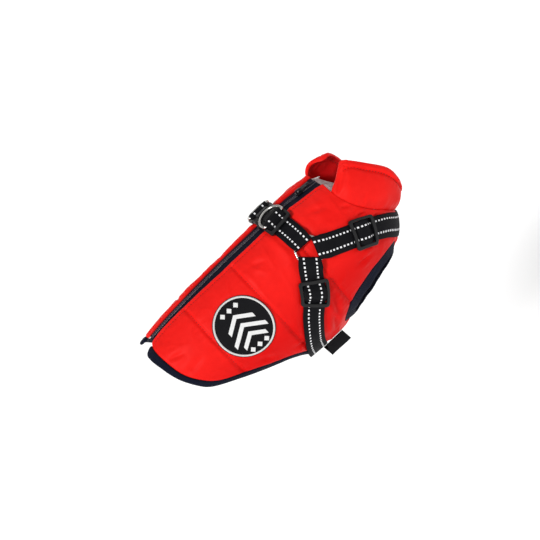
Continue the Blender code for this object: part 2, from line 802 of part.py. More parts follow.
def make_buckle(back):
    """Fastened side-release buckle across the spine, with a D-ring in each webbing loop."""
    wide, rail = BUCKLE_HALF, BUCKLE_HALF - BUCKLE_RAIL
    bar0, bar1 = LOOP_BAR
    frame = [
        (BUCKLE_BODY_END - 0.01, BUCKLE_END, -wide, wide, FRAME_LOW, FRAME_TOP, True),
        (BUCKLE_BODY_END, END_BAR, -rail, rail, FRAME_LOW, FRAME_TOP, False),
        (bar0, bar1, -rail, rail, FRAME_LOW, FRAME_TOP, True),
    ]
    socket = [(BUCKLE_SPLIT, BUCKLE_BODY_END, -wide, wide, 0.6, FRAME_TOP, True)] + frame
    socket += [(a, b, -c, c, FRAME_TOP - 1.0, BUCKLE_TOP, True) for a, b, c in BUCKLE_DOME]
    socket += [(BUCKLE_SPLIT, BUCKLE_BODY_END - 2.5, -wide + 2.0, wide - 2.0, 2.0, 4.4, False)]
    socket += [(4.0, 9.5, -wide, wide, 2.0, 4.4, False)]
    plug = [(BUCKLE_SPLIT - 0.7, BUCKLE_BODY_END, -wide + 1.0, wide - 1.0, 0.8, FRAME_TOP, True)] + frame
    plug += [(5.0, BUCKLE_BODY_END, -BUCKLE_DOME[0][2], BUCKLE_DOME[0][2], FRAME_TOP - 1.0, BUCKLE_TOP, True)]
    plug += [(-BUCKLE_BODY_END + 3.5, BUCKLE_SPLIT - 0.7, -2.5, 2.5, 2.4, 4.0, True)]
    for sign in (-1, 1):
        outer, inner = sign * (wide + 1.8), sign * 9.5
        a, b = sorted((inner, sign * 13.0))
        plug += [(-9.0, BUCKLE_SPLIT - 0.7, a, b, 2.4, 4.0, True)]
        a, b = sorted((inner, outer))
        plug += [(-9.0, -4.4, a, b, 2.4, 4.0, True)]
    blocks("buckle_socket", socket, lambda q, p, h: back.point(-q, p, h), "plastic_black")
    blocks("buckle_plug", plug, lambda q, p, h: back.point(q, p, h), "plastic_black")
    make_dee("d_ring_right", back, -1, 1.0)
    make_dee("d_ring_left", back, 1, -1.0)


def make_dee(name, track, sign, lie):
    """D-ring whose bar sits in the webbing loop; lie 1 points it at the spine, -1 away from it."""
    at = track.point(sign * DEE_AT, 0, DEE_HEIGHT)
    axis = (track.point(sign * DEE_AT, 5, DEE_HEIGHT) - track.point(sign * DEE_AT, -5, DEE_HEIGHT)).normalized()
    depth = DEE_ARM + DEE_HALF
    if lie > 0:
        aim = track.point(sign * (DEE_AT - depth), 0, DEE_HEIGHT + 1.4)
    else:
        aim = track.point(sign * (DEE_AT + depth), 0, DEE_HEIGHT + 2.2)
    reach = aim - at
    reach = (reach - axis * reach.dot(axis)).normalized()
    normal = axis.cross(reach)
    corner = 2.2
    path = [(-DEE_HALF + corner, 0.0), (DEE_HALF - corner, 0.0)]
    path += [
        (DEE_HALF - corner + corner * math.sin(a), corner - corner * math.cos(a)) for a in (0.5, 1.05, math.pi / 2)
    ]
    count = 12
    path += [
        (DEE_HALF * math.cos(math.pi * k / count), DEE_ARM + DEE_HALF * math.sin(math.pi * k / count))
        for k in range(count + 1)
    ]
    path += [
        (-DEE_HALF + corner - corner * math.cos(a), corner - corner * math.sin(a)) for a in (0.0, 0.52, 1.07)
    ]
    rings = []
    for i, (x, y) in enumerate(path):
        x0, y0 = path[i - 1]
        x1, y1 = path[(i + 1) % len(path)]
        away = Vector((y1 - y0, x0 - x1)).normalized()
        ring = []
        for m in range(WIRE_SIDES):
            roll = 2 * math.pi * m / WIRE_SIDES
            flat = DEE_WIRE * math.cos(roll)
            ring.append(
                at + axis * (x + away.x * flat) + reach * (y + away.y * flat) + normal * DEE_WIRE * math.sin(roll)
            )
        rings.append(ring)
    loft(name, rings, "steel", closed=True)


def make_zip():
    """Tapes, coil, slider and pull along the spine."""
    stations = steps(ZIP_TAIL, ZIP_NECK, 11) + [ZIP_NECK]
    for label, side in SIDES:
        rings = []
        for s in stations:
            near = edge_angle(s, COIL_HALF + GAP)
            far = edge_angle(s, row_at(ZIP_GAP, s)[0] - TAPE_SEAM)
            angles = (near, (near + far) / 2, far)
            ring = [coat(s, side * t, TAPE[1]) for t in angles]
            ring += [coat(s, side * t, TAPE[0]) for t in angles[::-1]]
            rings.append(ring)
        loft("zip_tape_" + label, rings, "rib_navy")
    rings = []
    for s in stations:
        edge = edge_angle(s, COIL_HALF)
        ring = [coat(s, t, COIL[0]) for t in (-edge, edge)]
        ring += [coat(s, t, COIL[1] - drop) for t, drop in ((edge, 0.7), (edge / 2, 0.0), (-edge / 2, 0.0), (-edge, 0.7))]
        rings.append(ring)
    loft("zip_coil", rings, "plastic_black")

    def place(q, p, h):
        s = SLIDER_AT + q
        return coat(s, 0, h) + Vector((0, p, 0))

    body = (
        (-6.5, 6.5, -4.6, 4.6, 2.95, 5.3, True),
        (-6.5, 6.5, -3.1, 3.1, 2.95, 4.0, False),
        (-4.0, 4.5, -1.2, 1.2, 5.3, 8.8, True),
        (-1.8, 3.0, -1.2, 1.2, 5.3, 8.0, False),
    )
    blocks("zip_slider", body, place, "steel")
    pull = (
        (PULL_PIVOT - 0.8, PULL_LENGTH, -3.4, 3.4, PULL_HEIGHT - 0.6, PULL_HEIGHT + 0.6, True),
        (PULL_PIVOT + 0.8, 6.4, -1.8, 1.8, PULL_HEIGHT - 0.6, PULL_HEIGHT + 0.6, False),
        (17.0, 20.5, -1.3, 1.3, PULL_HEIGHT - 0.6, PULL_HEIGHT + 0.6, False),
    )
    blocks("zip_pull", pull, place, "steel")


def make_patch():
    """Round patch with a raised rim on the right flank, and the label under the belly seam."""
    along = directions(PATCH_STATION, PATCH_ANGLE)[0].length
    around = directions(PATCH_STATION, PATCH_ANGLE)[1].length

    def place(radius, turn, height):
        s = PATCH_STATION + radius * math.cos(turn) / along
        return coat(s, PATCH_ANGLE + radius * math.sin(turn) / around, height)

    count = 28
    turns = [2 * math.pi * k / count for k in range(count)]
    inner = PATCH_RADIUS - PATCH_RIM - GAP
    bm = bmesh.new()
    radii = (inner, inner * 0.67, inner * 0.34)
    faces = []
    for height in (SKIN, SKIN + PATCH_WALL):
        hub = bm.verts.new(place(0, 0, height))
        grown = [[bm.verts.new(place(radius, turn, height)) for turn in turns] for radius in radii]
        for one, two in zip(grown, grown[1:]):
            for i in range(count):
                j = (i + 1) % count
                bm.faces.new((one[i], one[j], two[j], two[i]))
        for i in range(count):
            bm.faces.new((grown[-1][i], grown[-1][(i + 1) % count], hub))
        faces.append(grown[0])
    for i in range(count):
        j = (i + 1) % count
        bm.faces.new((faces[0][i], faces[0][j], faces[1][j], faces[1][i]))
    finish(bm, "patch_disc", "patch_black")
    rim = ((inner + GAP, 0.0), (inner + GAP, 1.2), (PATCH_RADIUS - 1.1, 1.7), (PATCH_RADIUS, 1.1), (PATCH_RADIUS, 0.0))
    rings = [[place(radius, turn, SKIN + height) for radius, height in rim] for turn in turns]
    loft("patch_rim", rings, "patch_white", closed=True)
    top = coat(sum(LABEL_X) / 2, LABEL_ANGLE, SKIN + WEB_WALL + 0.5)
    x0, x1 = LABEL_X
    half = LABEL_WALL / 2
    rings = []
    for part in (0.0, 0.4, 1.0):
        z = top.z - LABEL_DROP * part
        lean = 1.2 * part * part
        slope = 1.6 * part
        rings.append(
            [
                Vector((x0 + slope, top.y - half - lean, z)),
                Vector((x1 + slope, top.y - half - lean, z)),
                Vector((x1 + slope, top.y + half - lean, z)),
                Vector((x0 + slope, top.y + half - lean, z)),
            ]
        )
    loft("label", rings, "webbing_black")


SIDES = (("right", 1), ("left", -1))

for old in list(bpy.data.objects):
    bpy.data.objects.remove(old, do_unlink=True)
COAT = bpy.data.collections.new("dog_coat_with_harness")
bpy.context.scene.collection.children.link(COAT)
make_shell()
make_hem()
make_cuffs()
make_collar()
make_harness()
make_zip()
make_patch()
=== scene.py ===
"""Looks of a padded dog coat with a built-in webbing harness, zipped along the back.

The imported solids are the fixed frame. Every soft piece is made again here on the same body
surface, with its puffs, creases, stitching and weave, and takes its solid's place. Sizes are in
millimetres and degrees until a mesh is written, and every finish is worked out from real sizes.
"""

from __future__ import annotations

import logging
import math
from dataclasses import dataclass, field
from enum import Enum
from typing import Callable, Sequence

import bmesh
import bpy
import numpy as np
from mathutils import Matrix, Vector, noise
from mathutils.kdtree import KDTree

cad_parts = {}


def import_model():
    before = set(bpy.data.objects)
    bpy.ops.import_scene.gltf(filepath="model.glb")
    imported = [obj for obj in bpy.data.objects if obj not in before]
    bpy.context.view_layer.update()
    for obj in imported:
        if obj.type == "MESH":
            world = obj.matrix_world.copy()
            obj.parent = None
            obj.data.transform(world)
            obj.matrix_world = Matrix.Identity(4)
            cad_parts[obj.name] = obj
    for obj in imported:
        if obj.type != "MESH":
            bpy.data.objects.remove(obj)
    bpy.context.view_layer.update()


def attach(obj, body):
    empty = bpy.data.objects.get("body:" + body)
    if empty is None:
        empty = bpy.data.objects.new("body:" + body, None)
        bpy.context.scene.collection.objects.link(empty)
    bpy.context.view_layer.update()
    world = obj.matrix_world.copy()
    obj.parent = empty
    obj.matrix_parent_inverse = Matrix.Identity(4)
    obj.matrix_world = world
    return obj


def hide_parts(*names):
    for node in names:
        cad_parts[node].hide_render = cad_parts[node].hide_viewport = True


MM = 0.001
SKIN = 5.3  # height of the pressed shell, where webbing and badge lie
COAT_BODY = "coat"
CLOTH_UV = "cloth_mm"
WHITE = "#ffffff"
GARMENT_MIDDLE = Vector((-0.05, 0.0, -0.07))
SHARP_ANGLE = math.radians(50)
Array = np.ndarray
Number = np.ndarray | float
Pair = tuple[Array, Array]
Place = Callable[[Array, Array], Pair]
Rows = Sequence[Sequence[float]]
Triple = tuple[float, float, float]
log = logging.getLogger("dog_coat")


class Side(Enum):
    """The two mirrored halves of the coat, with the sign of their angle round the body."""

    RIGHT = 1
    LEFT = -1

    @property
    def label(self) -> str:
        """Word used in the names of pieces."""
        return self.name.lower()


# ---------------- body surface


def hermite(q: Array, start: Array, end: Array, leaving: Array, arriving: Array) -> Array:
    """Smooth way from start to end, with given slopes there, as q goes from 0 to 1."""
    return (
        (2 * q**3 - 3 * q * q + 1) * start
        + (q**3 - 2 * q * q + q) * leaving
        + (-2 * q**3 + 3 * q * q) * end
        + (q**3 - q * q) * arriving
    )


def together(*values: Number) -> Sequence[Array]:
    """Arrays or numbers stretched to one shape."""
    return np.broadcast_arrays(*(np.asarray(value, float) for value in values))


class Curve:
    """Smooth curve through the rows of a table, read at many places at once."""

    def __init__(self, rows: Rows) -> None:
        """Keeps the table and its slopes.

        Args:
            rows: first column rising, then the values that are read.
        """
        data = np.array(rows, float)
        self.x, self.y = data[:, 0], data[:, 1:]
        index = np.arange(len(data))
        before, after = np.maximum(index - 1, 0), np.minimum(index + 1, len(data) - 1)
        self.slope = (self.y[after] - self.y[before]) / (self.x[after] - self.x[before])[:, None]

    def at(self, x: Number) -> Array:
        """Values at x.

        Args:
            x: places to read, held inside the table's ends.

        Returns:
            One row of values for each place.
        """
        x = np.clip(np.asarray(x, float), self.x[0], self.x[-1])
        i = np.clip(np.searchsorted(self.x, x, side="left") - 1, 0, len(self.x) - 2)
        span = self.x[i + 1] - self.x[i]
        q = ((x - self.x[i]) / span)[..., None]
        leaving, arriving = (self.slope[k] * span[..., None] for k in (i, i + 1))
        return hermite(q, self.y[i], self.y[i + 1], leaving, arriving)


class BodyForm:
    """Inside surface of the filled-out coat: station s along it, angle t round it from the spine."""

    ANGLE_LENGTH = 1.24  # usual millimetres round the body for each degree
    BELLY_EDGE = 179.98  # angle of the belly seam
    ARMHOLE = (20.0, 140.5, 39.0, 24.0)  # station, angle, half length, half width in degrees
    # station, x and z of the spine, x and z of the belly, half width, squareness of the top
    SECTIONS = (
        (-215, -215, -10.0, -215, -124.5, 54, 2.0), (-160, -160, -3.5, -160, -135.5, 61, 2.0),
        (-80, -80, 0.0, -80, -147.5, 65, 2.0), (-30, -30, 0.0, -30, -149.5, 66, 2.1),
        (0, 0, 0.0, 0, -144.5, 66, 2.2), (25, 22, -0.5, 38, -134.5, 65, 2.4),
        (45, 38, -2.5, 68, -125.5, 61, 2.7), (65, 52, -4.0, 91, -112.5, 55, 3.0),
        (85, 62, -5.0, 103, -98.5, 49, 3.2), (100, 68, -5.5, 106, -89.5, 45, 3.2),
        (112, 73, -6.0, 107, -82.0, 42, 3.2),
    )
    # angle, station of the shell's cut edge and of the binding's outer edge
    HEM = (
        (11.0, -193.0, -195.3), (14.5, -194.0, -203.0), (21.5, -194.6, -204.8),
        (36.0, -193.5, -202.5), (59.0, -188.7, -196.2), (75.0, -178.5, -187.2),
        (87.0, -164.0, -175.6), (98.0, -135.5, -150.2), (110.0, -105.0, -119.2),
        (119.0, -84.5, -95.4), (130.0, -72.5, -80.0), (142.0, -68.0, -74.8), (156.0, -66.0, -72.6),
        (180.0, -65.0, -71.5),
    )
    # angle, station of the neck seam
    NECK = (
        (13.0, 88.0), (21.0, 87.0), (36.0, 80.0), (47.0, 76.2), (62.0, 76.2), (84.0, 83.8),
        (112.0, 95.0), (140.0, 99.0), (180.0, 100.0),
    )
    # station, half the gap that the shells leave for the zip
    ZIP_GAP = (
        (-206, 14.5), (-196, 11.5), (-188, 7.4), (-175, 7.0), (-120, 9.2), (-70, 11.4), (10, 13.2),
        (60, 15.5), (90, 18.0),
    )

    def __init__(self) -> None:
        """Reads the tables into curves."""
        self.sections = Curve(self.SECTIONS)
        self.hem = Curve(self.HEM)
        self.neck = Curve(self.NECK)
        self.zip_gap = Curve(self.ZIP_GAP)
        stations = np.linspace(-206.0, 100.0, 154)
        self._edge = (stations, self.angle_at_gap(stations, self.zip_gap.at(stations)[:, 0]))

    def inside(self, s: Array, t: Array) -> Array:
        """Points on the inside of the coat.

        Args:
            s: stations.
            t: angles from the spine, positive down the right side.

        Returns:
            Points in millimetres.
        """
        x_top, z_top, x_low, z_low, wide, crown = np.moveaxis(self.sections.at(s), -1, 0)
        angle = np.radians(t)
        up, side = np.cos(angle), np.sin(angle)
        power = 2 + (crown - 2) * np.maximum(0.0, up)
        reach = (np.abs(up) ** power + np.abs(side) ** power) ** (-1 / power)
        beyond = s - np.clip(s, self.sections.x[0], self.sections.x[-1])
        x = (x_top + x_low) / 2 + (x_top - x_low) / 2 * up * reach + beyond
        z = (z_top + z_low) / 2 + (z_top - z_low) / 2 * up * reach
        return np.stack([x, -wide * side * reach, z], -1)

    def directions(self, s: Array, t: Array) -> tuple[Array, Array, Array]:
        """Derivatives of the surface by s and by t, and its normal.

        Args:
            s: stations.
            t: angles.

        Returns:
            Along, around and the unit normal, one row for each place.
        """
        along = self.inside(s + 0.5, t) - self.inside(s - 0.5, t)
        around = self.inside(s, t + 0.5) - self.inside(s, t - 0.5)
        normal = np.cross(along, around)
        return along, around, normal / np.linalg.norm(normal, axis=-1, keepdims=True)

    def coat(self, s: Array, t: Array, height: Number) -> Array:
        """Points that stand out from the inside of the coat.

        Args:
            s: stations.
            t: angles.
            height: distance out along the normal.

        Returns:
            Points in millimetres.
        """
        s, t, height = together(s, t, height)
        normal = self.directions(s, t)[2]
        centre = (self.inside(s, np.zeros_like(t)) + self.inside(s, np.full_like(t, 180.0))) / 2
        point = self.inside(s, t)
        turned = np.sum(normal * (point - centre), -1, keepdims=True) < 0
        return point + np.where(turned, -normal, normal) * height[..., None]

    def angle_at_gap(self, s: Array, half_gap: Number) -> Array:
        """Angles at which the surface is half_gap from the middle, near the spine.

        Args:
            s: stations.
            half_gap: distances from the plane of symmetry.

        Returns:
            Angles in degrees.
        """
        low, high = np.zeros_like(s), np.full_like(s, 60.0)
        for _ in range(30):
            middle = (low + high) / 2
            near = -self.inside(s, middle)[..., 1] < half_gap
            low, high = np.where(near, middle, low), np.where(near, high, middle)
        return low

    def zip_edge(self, s: Array) -> Array:
        """Angle of the panel's cut edge along the zip at each station."""
        return np.interp(s, *self._edge)

    def panel(self, u: Array, v: Array, inset: float = 0.0) -> Pair:
        """Places on one half of the garment's pattern.

        Args:
            u: part of the way from the hem to the neck.
            v: part of the way from the zip to the belly seam.
            inset: how far inside the cut edges at hem, neck and zip the panel ends.

        Returns:
            Stations and angles.
        """
        s = -190 + 280 * u
        t = 180 * v
        for _ in range(12):
            edge = self.zip_edge(s) + inset / self.ANGLE_LENGTH
            t = edge + (self.BELLY_EDGE - edge) * v
            low, high = self.hem.at(t)[..., 0] + inset, self.neck.at(t)[..., 0] - inset
            s = low + (high - low) * u
        return s, t

    def armhole_distance(self, s: Array, t: Array) -> Array:
        """Distance outside the armhole's cut edge, negative in the opening."""
        station, angle, length, spread = self.ARMHOLE
        ds, dw = (s - station) / length, (t - angle) / spread
        radius = np.hypot(ds, dw)
        mean = np.hypot(ds * length, dw * spread * self.ANGLE_LENGTH) / np.maximum(radius, 1e-6)
        return (radius - 1) * mean


class Track:
    """Route over the coat that webbing and its hardware follow, measured from a middle mark."""

    BACK = (
        (0.0, 55.0), (0.0, 38.0), (-1.4, 22.0), (-4.2, 0.0), (-5.4, -22.0), (-2.0, -38.0),
        (0.0, -55.0),
    )
    CHEST = (
        (0.0, 55.0), (16.0, 62.5), (49.5, 82.0), (71.0, 108.0), (78.5, 135.0), (80.5, 158.0),
        (80.5, 180.0),
    )
    BELLY = (
        (0.0, 55.0), (-13.0, 67.0), (-27.2, 83.0), (-46.9, 100.0), (-60.5, 122.0), (-63.0, 145.0),
        (-62.0, 180.0),
    )

    def __init__(self, form: BodyForm, points: Rows, mirrored: bool) -> None:
        """Measures the route.

        Args:
            form: the body surface.
            points: station and angle of the route's marks.
            mirrored: whether the route goes on over the belly to the other side.
        """
        self.form = form
        rows = list(points)
        if mirrored:
            rows += [(s, 360 - t) for s, t in rows[-2::-1]]
        count = 24 * (len(rows) - 1)
        route = Curve([(i, s, t) for i, (s, t) in enumerate(rows)])
        at = route.at(np.linspace(0, len(rows) - 1, count + 1))
        s, t = at.T
        self.length_at = running_length(form.coat(s, t, SKIN))
        self.length = float(self.length_at[-1])
        self.middle = self.length / 2
        along, around, normal = form.directions(s, t)
        ahead = np.minimum(np.arange(count + 1) + 1, count)
        behind = np.maximum(np.arange(count + 1) - 1, 0)
        forward = along * (s[ahead] - s[behind])[:, None] + around * (t[ahead] - t[behind])[:, None]
        across = np.cross(normal, forward)
        across /= np.linalg.norm(across, axis=1, keepdims=True)
        ee, ef, ff = (np.sum(a * b, 1) for a, b in ((along, along), (along, around), (around, around)))
        xe, xf = np.sum(across * along, 1), np.sum(across * around, 1)
        lost = ee * ff - ef * ef
        self.rows = np.stack([s, t, (xe * ff - xf * ef) / lost, (xf * ee - xe * ef) / lost], 1)

    def point(self, q: Number, p: Number, h: Number) -> Array:
        """Points on or over the route.

        Args:
            q: distance along it from its middle.
            p: distance across it.
            h: height over the skin.

        Returns:
            Points in millimetres.
        """
        q, p, h = together(q, p, h)
        at = q + self.middle
        s, t, s_step, t_step = (np.interp(at, self.length_at, self.rows[:, k]) for k in range(4))
        return self.form.coat(s + p * s_step, t + p * t_step, SKIN + h)


# ---------------- making meshes


def soft_noise(points: Array, size: float | Sequence[float], seed: int) -> Array:
    """Smooth noise from about -1 to 1.

    Args:
        points: rows of two or three coordinates.
        size: size of its swells, one for all coordinates or one for each.
        seed: number that tells one noise from another.

    Returns:
        One value for each row.
    """
    scaled = np.zeros((len(points), 3))
    scaled[:, : points.shape[1]] = points / np.asarray(size, float)
    scaled += (seed * 17.31, seed * 5.17, seed * 9.73)
    return np.array([noise.noise(Vector(row)) for row in scaled])


def running_length(points: Array) -> Array:
    """Length of a line of points up to each of them."""
    return np.concatenate([[0.0], np.cumsum(np.linalg.norm(np.diff(points, axis=0), axis=1))])


def bell(value: Array, width: float) -> Array:
    """1 at zero, falling off softly on both sides over about a width."""
    return np.exp(-((value / width) ** 2))


def pair(one: Array, two: Array) -> Array:
    """Two columns side by side."""
    return np.stack([one, two], -1)


def smooth_step(value: Number, low: float, high: float) -> Array:
    """0 up to low, 1 from high, and a soft rise between them."""
    part = np.clip((np.asarray(value, float) - low) / (high - low), 0.0, 1.0)
    return part * part * (3 - 2 * part)


def write_mesh(bm: bmesh.types.BMesh, name: str, smooth: bool = True) -> bpy.types.Object:
    """Makes the finished piece from a bmesh, at the origin.

    Args:
        bm: the piece's geometry, which is freed.
        name: the piece's name.
        smooth: whether its faces are shaded smooth.

    Returns:
        The new object.
    """
    mesh = bpy.data.meshes.new(name)
    bm.to_mesh(mesh)
    bm.free()
    mesh.polygons.foreach_set("use_smooth", [smooth] * len(mesh.polygons))
    piece = bpy.data.objects.new(name, mesh)
    bpy.context.scene.collection.objects.link(piece)
    return piece


def cloth_grid(
    name: str,
    counts: tuple[int, int],
    place: Place,
    closed: bool = False,
    keep: Callable[[Array, Array], Array] | None = None,
) -> bpy.types.Object:
    """Lays a grid of faces over a surface, with a UV map in millimetres.

    Args:
        name: the piece's name.
        counts: faces along each way of the grid.
        place: gives points and UVs from the two parts of the way.
        closed: whether its ends meet or are capped, as on a tube.
        keep: tells which corners are wanted, and faces with an unwanted corner go.

    Returns:
        The new object.
    """
    bm = bmesh.new()
    bm.loops.layers.uv.new(CLOTH_UV)
    bmesh.ops.create_grid(bm, x_segments=counts[0], y_segments=counts[1], size=0.5, calc_uvs=True)
    mesh = bpy.data.meshes.new(name + "_grid")
    bm.to_mesh(mesh)
    flat = np.zeros(len(mesh.vertices) * 3, np.float32)
    mesh.vertices.foreach_get("co", flat)
    part = np.clip(flat.reshape(-1, 3)[:, :2].astype(float) + 0.5, 0.0, 1.0)
    points, uv = place(part[:, 0], part[:, 1])
    mesh.vertices.foreach_set("co", (points * MM).astype(np.float32).ravel())
    corner = np.zeros(len(mesh.loops), np.int32)
    mesh.loops.foreach_get("vertex_index", corner)
    mesh.uv_layers[CLOTH_UV].data.foreach_set("uv", uv[corner].astype(np.float32).ravel())
    bm.clear()
    bm.from_mesh(mesh)
    bpy.data.meshes.remove(mesh)
    if keep is not None:
        wanted = keep(part[:, 0], part[:, 1])
        bm.verts.ensure_lookup_table()
        gone = [v for v, good in zip(bm.verts, wanted) if not good]
        bmesh.ops.delete(bm, geom=gone, context="VERTS")
    if closed:
        bmesh.ops.remove_doubles(bm, verts=bm.verts, dist=2e-6)
        bmesh.ops.dissolve_degenerate(bm, dist=1e-7, edges=bm.edges)
        bmesh.ops.holes_fill(bm, edges=[e for e in bm.edges if e.is_boundary], sides=0)
        bmesh.ops.recalc_face_normals(bm, faces=bm.faces)
    return write_mesh(bm, name)


def give_wall(piece: bpy.types.Object, wall: float, middle: Vector = GARMENT_MIDDLE) -> None:
    """Turns a sheet's faces away from the garment's middle and gives it thickness inwards.

    Args:
        piece: the sheet.
        wall: its thickness in millimetres.
        middle: a point inside the garment, in metres.
    """
    bm = bmesh.new()
    bm.from_mesh(piece.data)
    if sum(f.normal.dot(f.calc_center_median() - middle) * f.calc_area() for f in bm.faces) < 0:
        bmesh.ops.reverse_faces(bm, faces=bm.faces)
    bm.to_mesh(piece.data)
    bm.free()
    made = piece.modifiers.new("wall", "SOLIDIFY")
    made.thickness = wall * MM
    made.offset = -1.0
    made.use_rim = True
    made.use_even_offset = False


def rounded_strip(half: Number, wall: float, v: Array) -> Pair:
    """Cross-section of webbing: a flat strip whose two selvedges are round.

    Args:
        half: half the strip's width.
        wall: its thickness.
        v: part of the way round the section.

    Returns:
        Distance across and height from the middle of the strip.
    """
    corners = np.array([0.0, 0.44, 0.47, 0.5, 0.53, 0.56, 0.94, 0.97, 1.0])
    across = np.interp(v, corners, [-0.97, 0.97, 0.993, 1.0, 0.993, 0.97, -0.97, -1.0, -0.97])
    height = np.interp(v, corners, [0.5, 0.5, 0.38, 0.0, -0.38, -0.5, -0.5, 0.0, 0.5])
    return across * half, height * wall


def along_route(route: Rows, step: float) -> Array:
    """Evenly spaced, softened points along a side view of webbing.

    Args:
        route: distance along the track and height over the skin.
        step: spacing of the points.

    Returns:
        Rows of distance, height and the two parts of the unit normal.
    """
    marks = np.array(route, float)
    run = running_length(marks)
    fine = np.arange(0.0, run[-1], 0.2)
    q, h = np.interp(fine, run, marks[:, 0]), np.interp(fine, run, marks[:, 1])
    reach = 7
    kernel = np.hanning(2 * reach + 3)[1:-1]
    kernel /= kernel.sum()
    padded = (np.pad(a, reach, mode="reflect", reflect_type="odd") for a in (q, h))
    soft = [np.convolve(a, kernel, "valid") for a in padded]
    count = max(4, round(run[-1] / step))
    at = np.linspace(0, len(fine) - 1, count + 1)
    q, h = (np.interp(at, np.arange(len(fine)), a) for a in soft)
    dq, dh = np.gradient(q), np.gradient(h)
    size = np.hypot(dq, dh)
    return np.stack([q, h, -dh / size, dq / size], 1)


def set_in_place(
    bm: bmesh.types.BMesh, name: str, place: Callable[[Array], Array], smooth: bool = True
) -> bpy.types.Object:
    """Makes the finished piece from a flat model, in millimetres, carried to its place.

    Args:
        bm: the model, with along, across and height as its coordinates, which is freed.
        name: the piece's name.
        place: gives frame points in millimetres from those coordinates.
        smooth: whether it is shaded smooth between its sharp edges.

    Returns:
        The new object.
    """
    piece = write_mesh(bm, name, smooth)
    flat = np.zeros(len(piece.data.vertices) * 3, np.float32)
    piece.data.vertices.foreach_get("co", flat)
    points = place(flat.reshape(-1, 3).astype(float))
    piece.data.vertices.foreach_set("co", (points * MM).astype(np.float32).ravel())
    bm = bmesh.new()
    bm.from_mesh(piece.data)
    if bm.calc_volume(signed=True) < 0:
        bmesh.ops.reverse_faces(bm, faces=bm.faces)
    bm.to_mesh(piece.data)
    bm.free()
    if smooth:
        piece.data.set_sharp_from_angle(angle=SHARP_ANGLE)
    return piece


def cut_lines(bm: bmesh.types.BMesh, axis: int, places: Sequence[float]) -> None:
    """Cuts edges across a flat-modelled piece so that it can follow a curved surface.

    Args:
        bm: the piece.
        axis: 0 to cut across its length, 1 across its width.
        places: where the cuts are.
    """
    normal = Vector((1, 0, 0)) if axis == 0 else Vector((0, 1, 0))
    for place in places:
        geom = bm.verts[:] + bm.edges[:] + bm.faces[:]
        bmesh.ops.bisect_plane(bm, geom=geom, dist=1e-5, plane_co=normal * place, plane_no=normal)


def barred_plate(
    lines: tuple[Sequence[float], Sequence[float]],
    holes: Sequence[tuple[int, int]],
    low: float,
    high: float,
) -> bmesh.types.BMesh:
    """Flat plate with rectangular holes, such as a slider or a buckle's end.

    Args:
        lines: where the plate is divided along and across.
        holes: cells that are open, counted along and across.
        low: height of its underside.
        high: height of its top.

    Returns:
        The plate's geometry, with sharp corners.
    """
    bm = bmesh.new()
    xs, ys = lines
    bmesh.ops.create_grid(bm, x_segments=len(xs) - 1, y_segments=len(ys) - 1, size=0.5)
    for v in bm.verts:
        i = round((v.co.x + 0.5) * (len(xs) - 1))
        j = round((v.co.y + 0.5) * (len(ys) - 1))
        v.co = (xs[i], ys[j], low)
    gone = []
    for f in bm.faces:
        middle = f.calc_center_median()
        cell = (sum(x < middle.x for x in xs) - 1, sum(y < middle.y for y in ys) - 1)
        if cell in holes:
            gone.append(f)
    bmesh.ops.delete(bm, geom=gone, context="FACES")
    raised = bmesh.ops.extrude_face_region(bm, geom=bm.faces[:], use_keep_orig=True)
    lifted = [g for g in raised["geom"] if isinstance(g, bmesh.types.BMVert)]
    bmesh.ops.translate(bm, vec=(0, 0, high - low), verts=lifted)
    bmesh.ops.recalc_face_normals(bm, faces=bm.faces)
    return bm


def round_edges(
    bm: bmesh.types.BMesh,
    offset: float,
    segments: int,
    wanted: Callable[[bmesh.types.BMEdge], bool] = lambda edge: True,
) -> None:
    """Bevels the sharp edges that are wanted.

    Args:
        bm: the piece.
        offset: width of the bevel.
        segments: faces across it.
        wanted: chooses among the sharp edges.
    """
    least = math.radians(30)
    sharp = [e for e in bm.edges if e.is_manifold and e.calc_face_angle(0) > least and wanted(e)]
    sizes = {"offset": offset, "segments": segments, "profile": 0.5}
    bmesh.ops.bevel(bm, geom=sharp, affect="EDGES", material=-1, clamp_overlap=True, **sizes)


def upright(edge: bmesh.types.BMEdge) -> bool:
    """Whether an edge of a flat-modelled piece stands up from it."""
    way = (edge.verts[1].co - edge.verts[0].co).normalized()
    return abs(way.z) > 0.9


def rounded_block(
    span: tuple[float, float, float, float, float, float], corner: float, edge: float
) -> bmesh.types.BMesh:
    """Box with round corners in plan and softened edges.

    Args:
        span: from and to along, across and up.
        corner: radius of its four upright edges.
        edge: radius of the rest.

    Returns:
        The block's geometry.
    """
    x0, x1, y0, y1, z0, z1 = span
    bm = bmesh.new()
    bmesh.ops.create_cube(bm, size=1.0)
    bmesh.ops.scale(bm, vec=(x1 - x0, y1 - y0, z1 - z0), verts=bm.verts)
    bmesh.ops.translate(bm, vec=((x0 + x1) / 2, (y0 + y1) / 2, (z0 + z1) / 2), verts=bm.verts)
    if corner > 0:
        round_edges(bm, corner, 5, upright)
    round_edges(bm, edge, 3)
    return bm


def join_into(target: bmesh.types.BMesh, other: bmesh.types.BMesh) -> None:
    """Adds one piece's geometry to another's and frees it."""
    mesh = bpy.data.meshes.new("joining")
    other.to_mesh(mesh)
    other.free()
    target.from_mesh(mesh)
    bpy.data.meshes.remove(mesh)


# ---------------- finishes


def linear(code: str) -> tuple[float, float, float, float]:
    """Linear colour of an sRGB hex code.

    Args:
        code: six hex digits after a hash.

    Returns:
        Red, green, blue and a full alpha.
    """
    parts = [int(code[i : i + 2], 16) / 255 for i in (1, 3, 5)]
    red, green, blue = (c / 12.92 if c <= 0.04045 else ((c + 0.055) / 1.055) ** 2.4 for c in parts)
    return red, green, blue, 1.0


